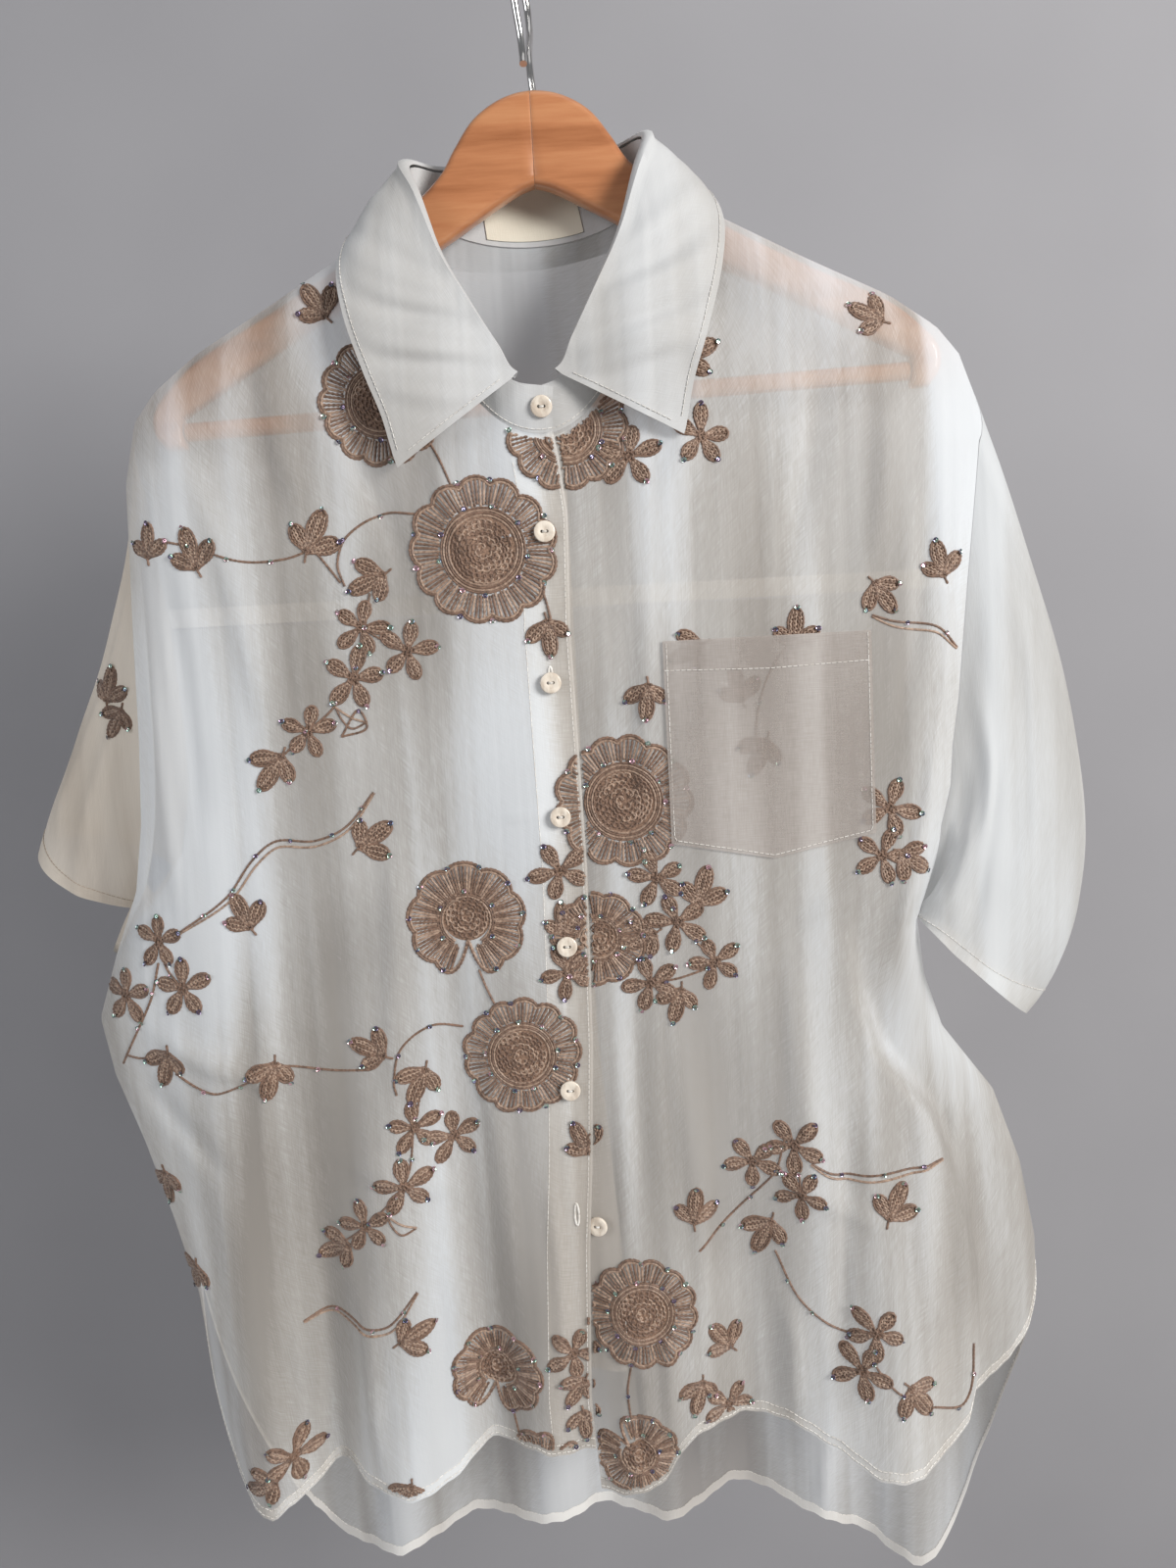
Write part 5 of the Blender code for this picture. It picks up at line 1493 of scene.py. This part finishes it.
def hangerArm(name, node, side):
    upper = curve(armUpper, armSizes["step"])
    tip = (armLower[0][0], armUpper[-1][1])
    outline = [(0, 0), *upper[upper[:, 0] > 1.5], tip, *curve(armLower, armSizes["step"])]
    bpy.ops.object.select_all(action="DESELECT")
    bpy.ops.mesh.primitive_circle_add(vertices=len(outline), fill_type="NGON")
    arm = bpy.context.object
    arm.name = arm.data.name = name
    for vertex, (out, rise) in zip(arm.data.vertices, outline):
        x = side * max(out, armSizes["mitre"])
        z = hanger["woodTop"] + rise + hanger["rise"] * x
        vertex.co = Vector((hanger["x"] + x, -armSizes["thick"] / 2, z)) * mm
    bpy.ops.object.mode_set(mode="EDIT")
    bpy.ops.mesh.select_mode(type="EDGE")
    bpy.ops.mesh.select_all(action="SELECT")
    bpy.ops.mesh.extrude_region_move(TRANSFORM_OT_translate={"value": (0, armSizes["thick"] * mm, 0)})
    bpy.ops.mesh.select_all(action="SELECT")
    bpy.ops.mesh.normals_make_consistent(inside=False)
    bpy.ops.mesh.select_all(action="DESELECT")
    bpy.ops.object.mode_set(mode="OBJECT")

    def atMitre(point):
        return abs(point.x - hanger["x"] - side * armSizes["mitre"]) < 0.02

    def alongOutline(first, second):
        return abs(first.y - second.y) < 0.01 and not (atMitre(first) and atMitre(second))

    def alongMitre(first, second):
        level = abs(first.y - second.y) < 0.01 and abs(first.z - second.z) > 10
        return level and atMitre(first) and atMitre(second)

    roundEdges(arm, alongOutline, armSizes["edge"], 4)
    roundEdges(arm, alongMitre, armSizes["groove"], 1)
    arm.data.materials.append(wood)
    arm.data.shade_smooth()
    arm.data.set_sharp_from_angle(angle=math.radians(40))
    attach(arm, "root")
    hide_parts(node)
    print(name, len(arm.data.polygons), "faces")


hangerArm("woodArmLeft", "hanger_arm_left", left)
hangerArm("woodArmRight", "hanger_arm_right", right)
nodes["hanger_bar"].data.materials.clear()
nodes["hanger_bar"].data.materials.append(wood)

# Hook: the wire leaves the wood, swings back, runs over the top and comes down in front
hookSizes = {
    "radius": 2, "bend": 21, "centre": -19, "from": -10, "sweep": 200, "points": 13, "plane": 80,
    "lean": 0.09, "aside": -1.5, "steps": 8,
}
hookFoot = ((0, -68.6), (0, -60), (3, -50), (10, -41), (17, -32))
hookEnd = ((-19, -36), (-16, -47), (-16.5, -57), (-19, -63))
bendTurns = np.radians(hookSizes["from"] + hookSizes["sweep"] * np.linspace(0, 1, hookSizes["points"]))
hookRoute = np.array((*hookFoot, *polar(0, hookSizes["centre"], hookSizes["bend"], bendTurns), *hookEnd))
wireCurve = bpy.data.curves.new("wireHook", "CURVE")
wireCurve.dimensions = "3D"
wireCurve.bevel_depth, wireCurve.bevel_resolution = hookSizes["radius"] * mm, 6
wireCurve.use_fill_caps = True
places = np.linspace(0, len(hookRoute) - 1, hookSizes["steps"] * (len(hookRoute) - 1) + 1)
plane = math.radians(hookSizes["plane"])
spline = wireCurve.splines.new("POLY")
spline.points.add(len(places) - 1)
for point, at in zip(spline.points, places):
    run, z = (catmull(list(range(len(hookRoute))), hookRoute[:, axis], at) for axis in (0, 1))
    x = run * math.cos(plane) - z * hookSizes["lean"] + hookSizes["aside"]
    point.co = (x * mm, run * math.sin(plane) * mm, z * mm, 1)
wireHook = bpy.data.objects.new("wireHook", wireCurve)
bpy.context.scene.collection.objects.link(wireHook)
bpy.ops.object.select_all(action="DESELECT")
wireHook.select_set(True)
bpy.context.view_layer.objects.active = wireHook
bpy.ops.object.convert(target="MESH")
wireHook = bpy.context.object
bpy.ops.object.mode_set(mode="EDIT")
bpy.ops.mesh.select_all(action="SELECT")
bpy.ops.mesh.remove_doubles(threshold=0.001 * mm)
bpy.ops.mesh.normals_make_consistent(inside=False)
bpy.ops.object.mode_set(mode="OBJECT")
wireHook.data.materials.clear()
wireHook.data.materials.append(wire)
wireHook.data.shade_smooth()
wireHook.data.set_sharp_from_angle(angle=math.radians(50))
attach(wireHook, "root")
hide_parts("hook")
print("hanger")

# Stage
stageSizes = {"floor": -1.5, "wall": 0.42, "size": 6}
bpy.ops.object.select_all(action="DESELECT")
bpy.ops.mesh.primitive_plane_add(size=stageSizes["size"], location=(0, -1.2, stageSizes["floor"]))
floor = bpy.context.object
floor.name = "floor"
wallPlace, upright = (0, stageSizes["wall"], 0.6), (math.pi / 2, 0, 0)
bpy.ops.mesh.primitive_plane_add(size=stageSizes["size"], location=wallPlace, rotation=upright)
wall = bpy.context.object
wall.name = "wall"
# Seen from behind the wall is clear, so it never hides the shirt's back
tree = plaster.node_tree
output = next(node for node in tree.nodes if node.type == "OUTPUT_MATERIAL")
painted = output.inputs["Surface"].links[0].from_socket
seen = addNode(tree, "ShaderNodeNewGeometry")
clear = addNode(tree, "ShaderNodeBsdfTransparent")
sidedness = {0: seen.outputs["Backfacing"], 1: painted, 2: clear.outputs[0]}
oneSided = addNode(tree, "ShaderNodeMixShader", None, sidedness)
tree.links.new(oneSided.outputs[0], output.inputs["Surface"])
wall.data.materials.append(plaster)
floor.data.materials.append(pale)

# Lamps: place, target, size, power and colour
lamps = {
    "window": ((1.5, -1.35, 0.2), (0, 0, -0.42), 0.8, 54, (1.0, 0.985, 0.96)),
    "fill": ((-1.7, -1.4, 0.1), (0, 0, -0.5), 1.2, 17, (0.94, 0.965, 1.0)),
    "top": ((0.2, -0.3, 1.5), (0, 0.1, -0.4), 1.2, 2.5, (1, 1, 1)),
}
skyColour, skyStrength = (0.80, 0.82, 0.85, 1), 0.23


def lamp(name, place, target, size, power, colour):
    data = bpy.data.lights.new(name, "AREA")
    data.shape, data.size, data.energy, data.color = "SQUARE", size, power, colour
    obj = bpy.data.objects.new(name, data)
    obj.location = place
    obj.rotation_euler = (Vector(target) - Vector(place)).to_track_quat("-Z", "Y").to_euler()
    bpy.context.scene.collection.objects.link(obj)


for name, values in lamps.items():
    lamp(name, *values)
world = bpy.data.worlds.new("world")
world.use_nodes = True
world.node_tree.nodes["Background"].inputs["Color"].default_value = skyColour
world.node_tree.nodes["Background"].inputs["Strength"].default_value = skyStrength
bpy.context.scene.world = world

# Camera: turned down and a little round its own axis, as the photograph was taken
cameraSizes = {
    "lens": 26.0, "sensor": 36.0, "place": (0.014, -0.645, -0.349), "pitch": -8, "roll": 3.1, "near": 0.01,
}
cameraData = bpy.data.cameras.new("camera")
cameraData.lens, cameraData.sensor_width = cameraSizes["lens"], cameraSizes["sensor"]
cameraData.sensor_fit, cameraData.clip_start = "AUTO", cameraSizes["near"]
camera = bpy.data.objects.new("camera", cameraData)
bpy.context.scene.collection.objects.link(camera)
pitch, roll = math.radians(cameraSizes["pitch"]), math.radians(cameraSizes["roll"])
forward = Vector((0, math.cos(pitch), math.sin(pitch)))
level = Vector((0, -math.sin(pitch), math.cos(pitch)))
rightward = Vector((math.cos(roll), 0, 0)) - level * math.sin(roll)
upward = Vector((math.sin(roll), 0, 0)) + level * math.cos(roll)
camera.rotation_mode = "QUATERNION"
camera.rotation_quaternion = Matrix((rightward, upward, -forward)).transposed().to_quaternion()
camera.location = cameraSizes["place"]
scene = bpy.context.scene
scene.camera = camera
scene.view_settings.view_transform = "Standard"
scene.cycles.transparent_max_bounces = 24

print("done")
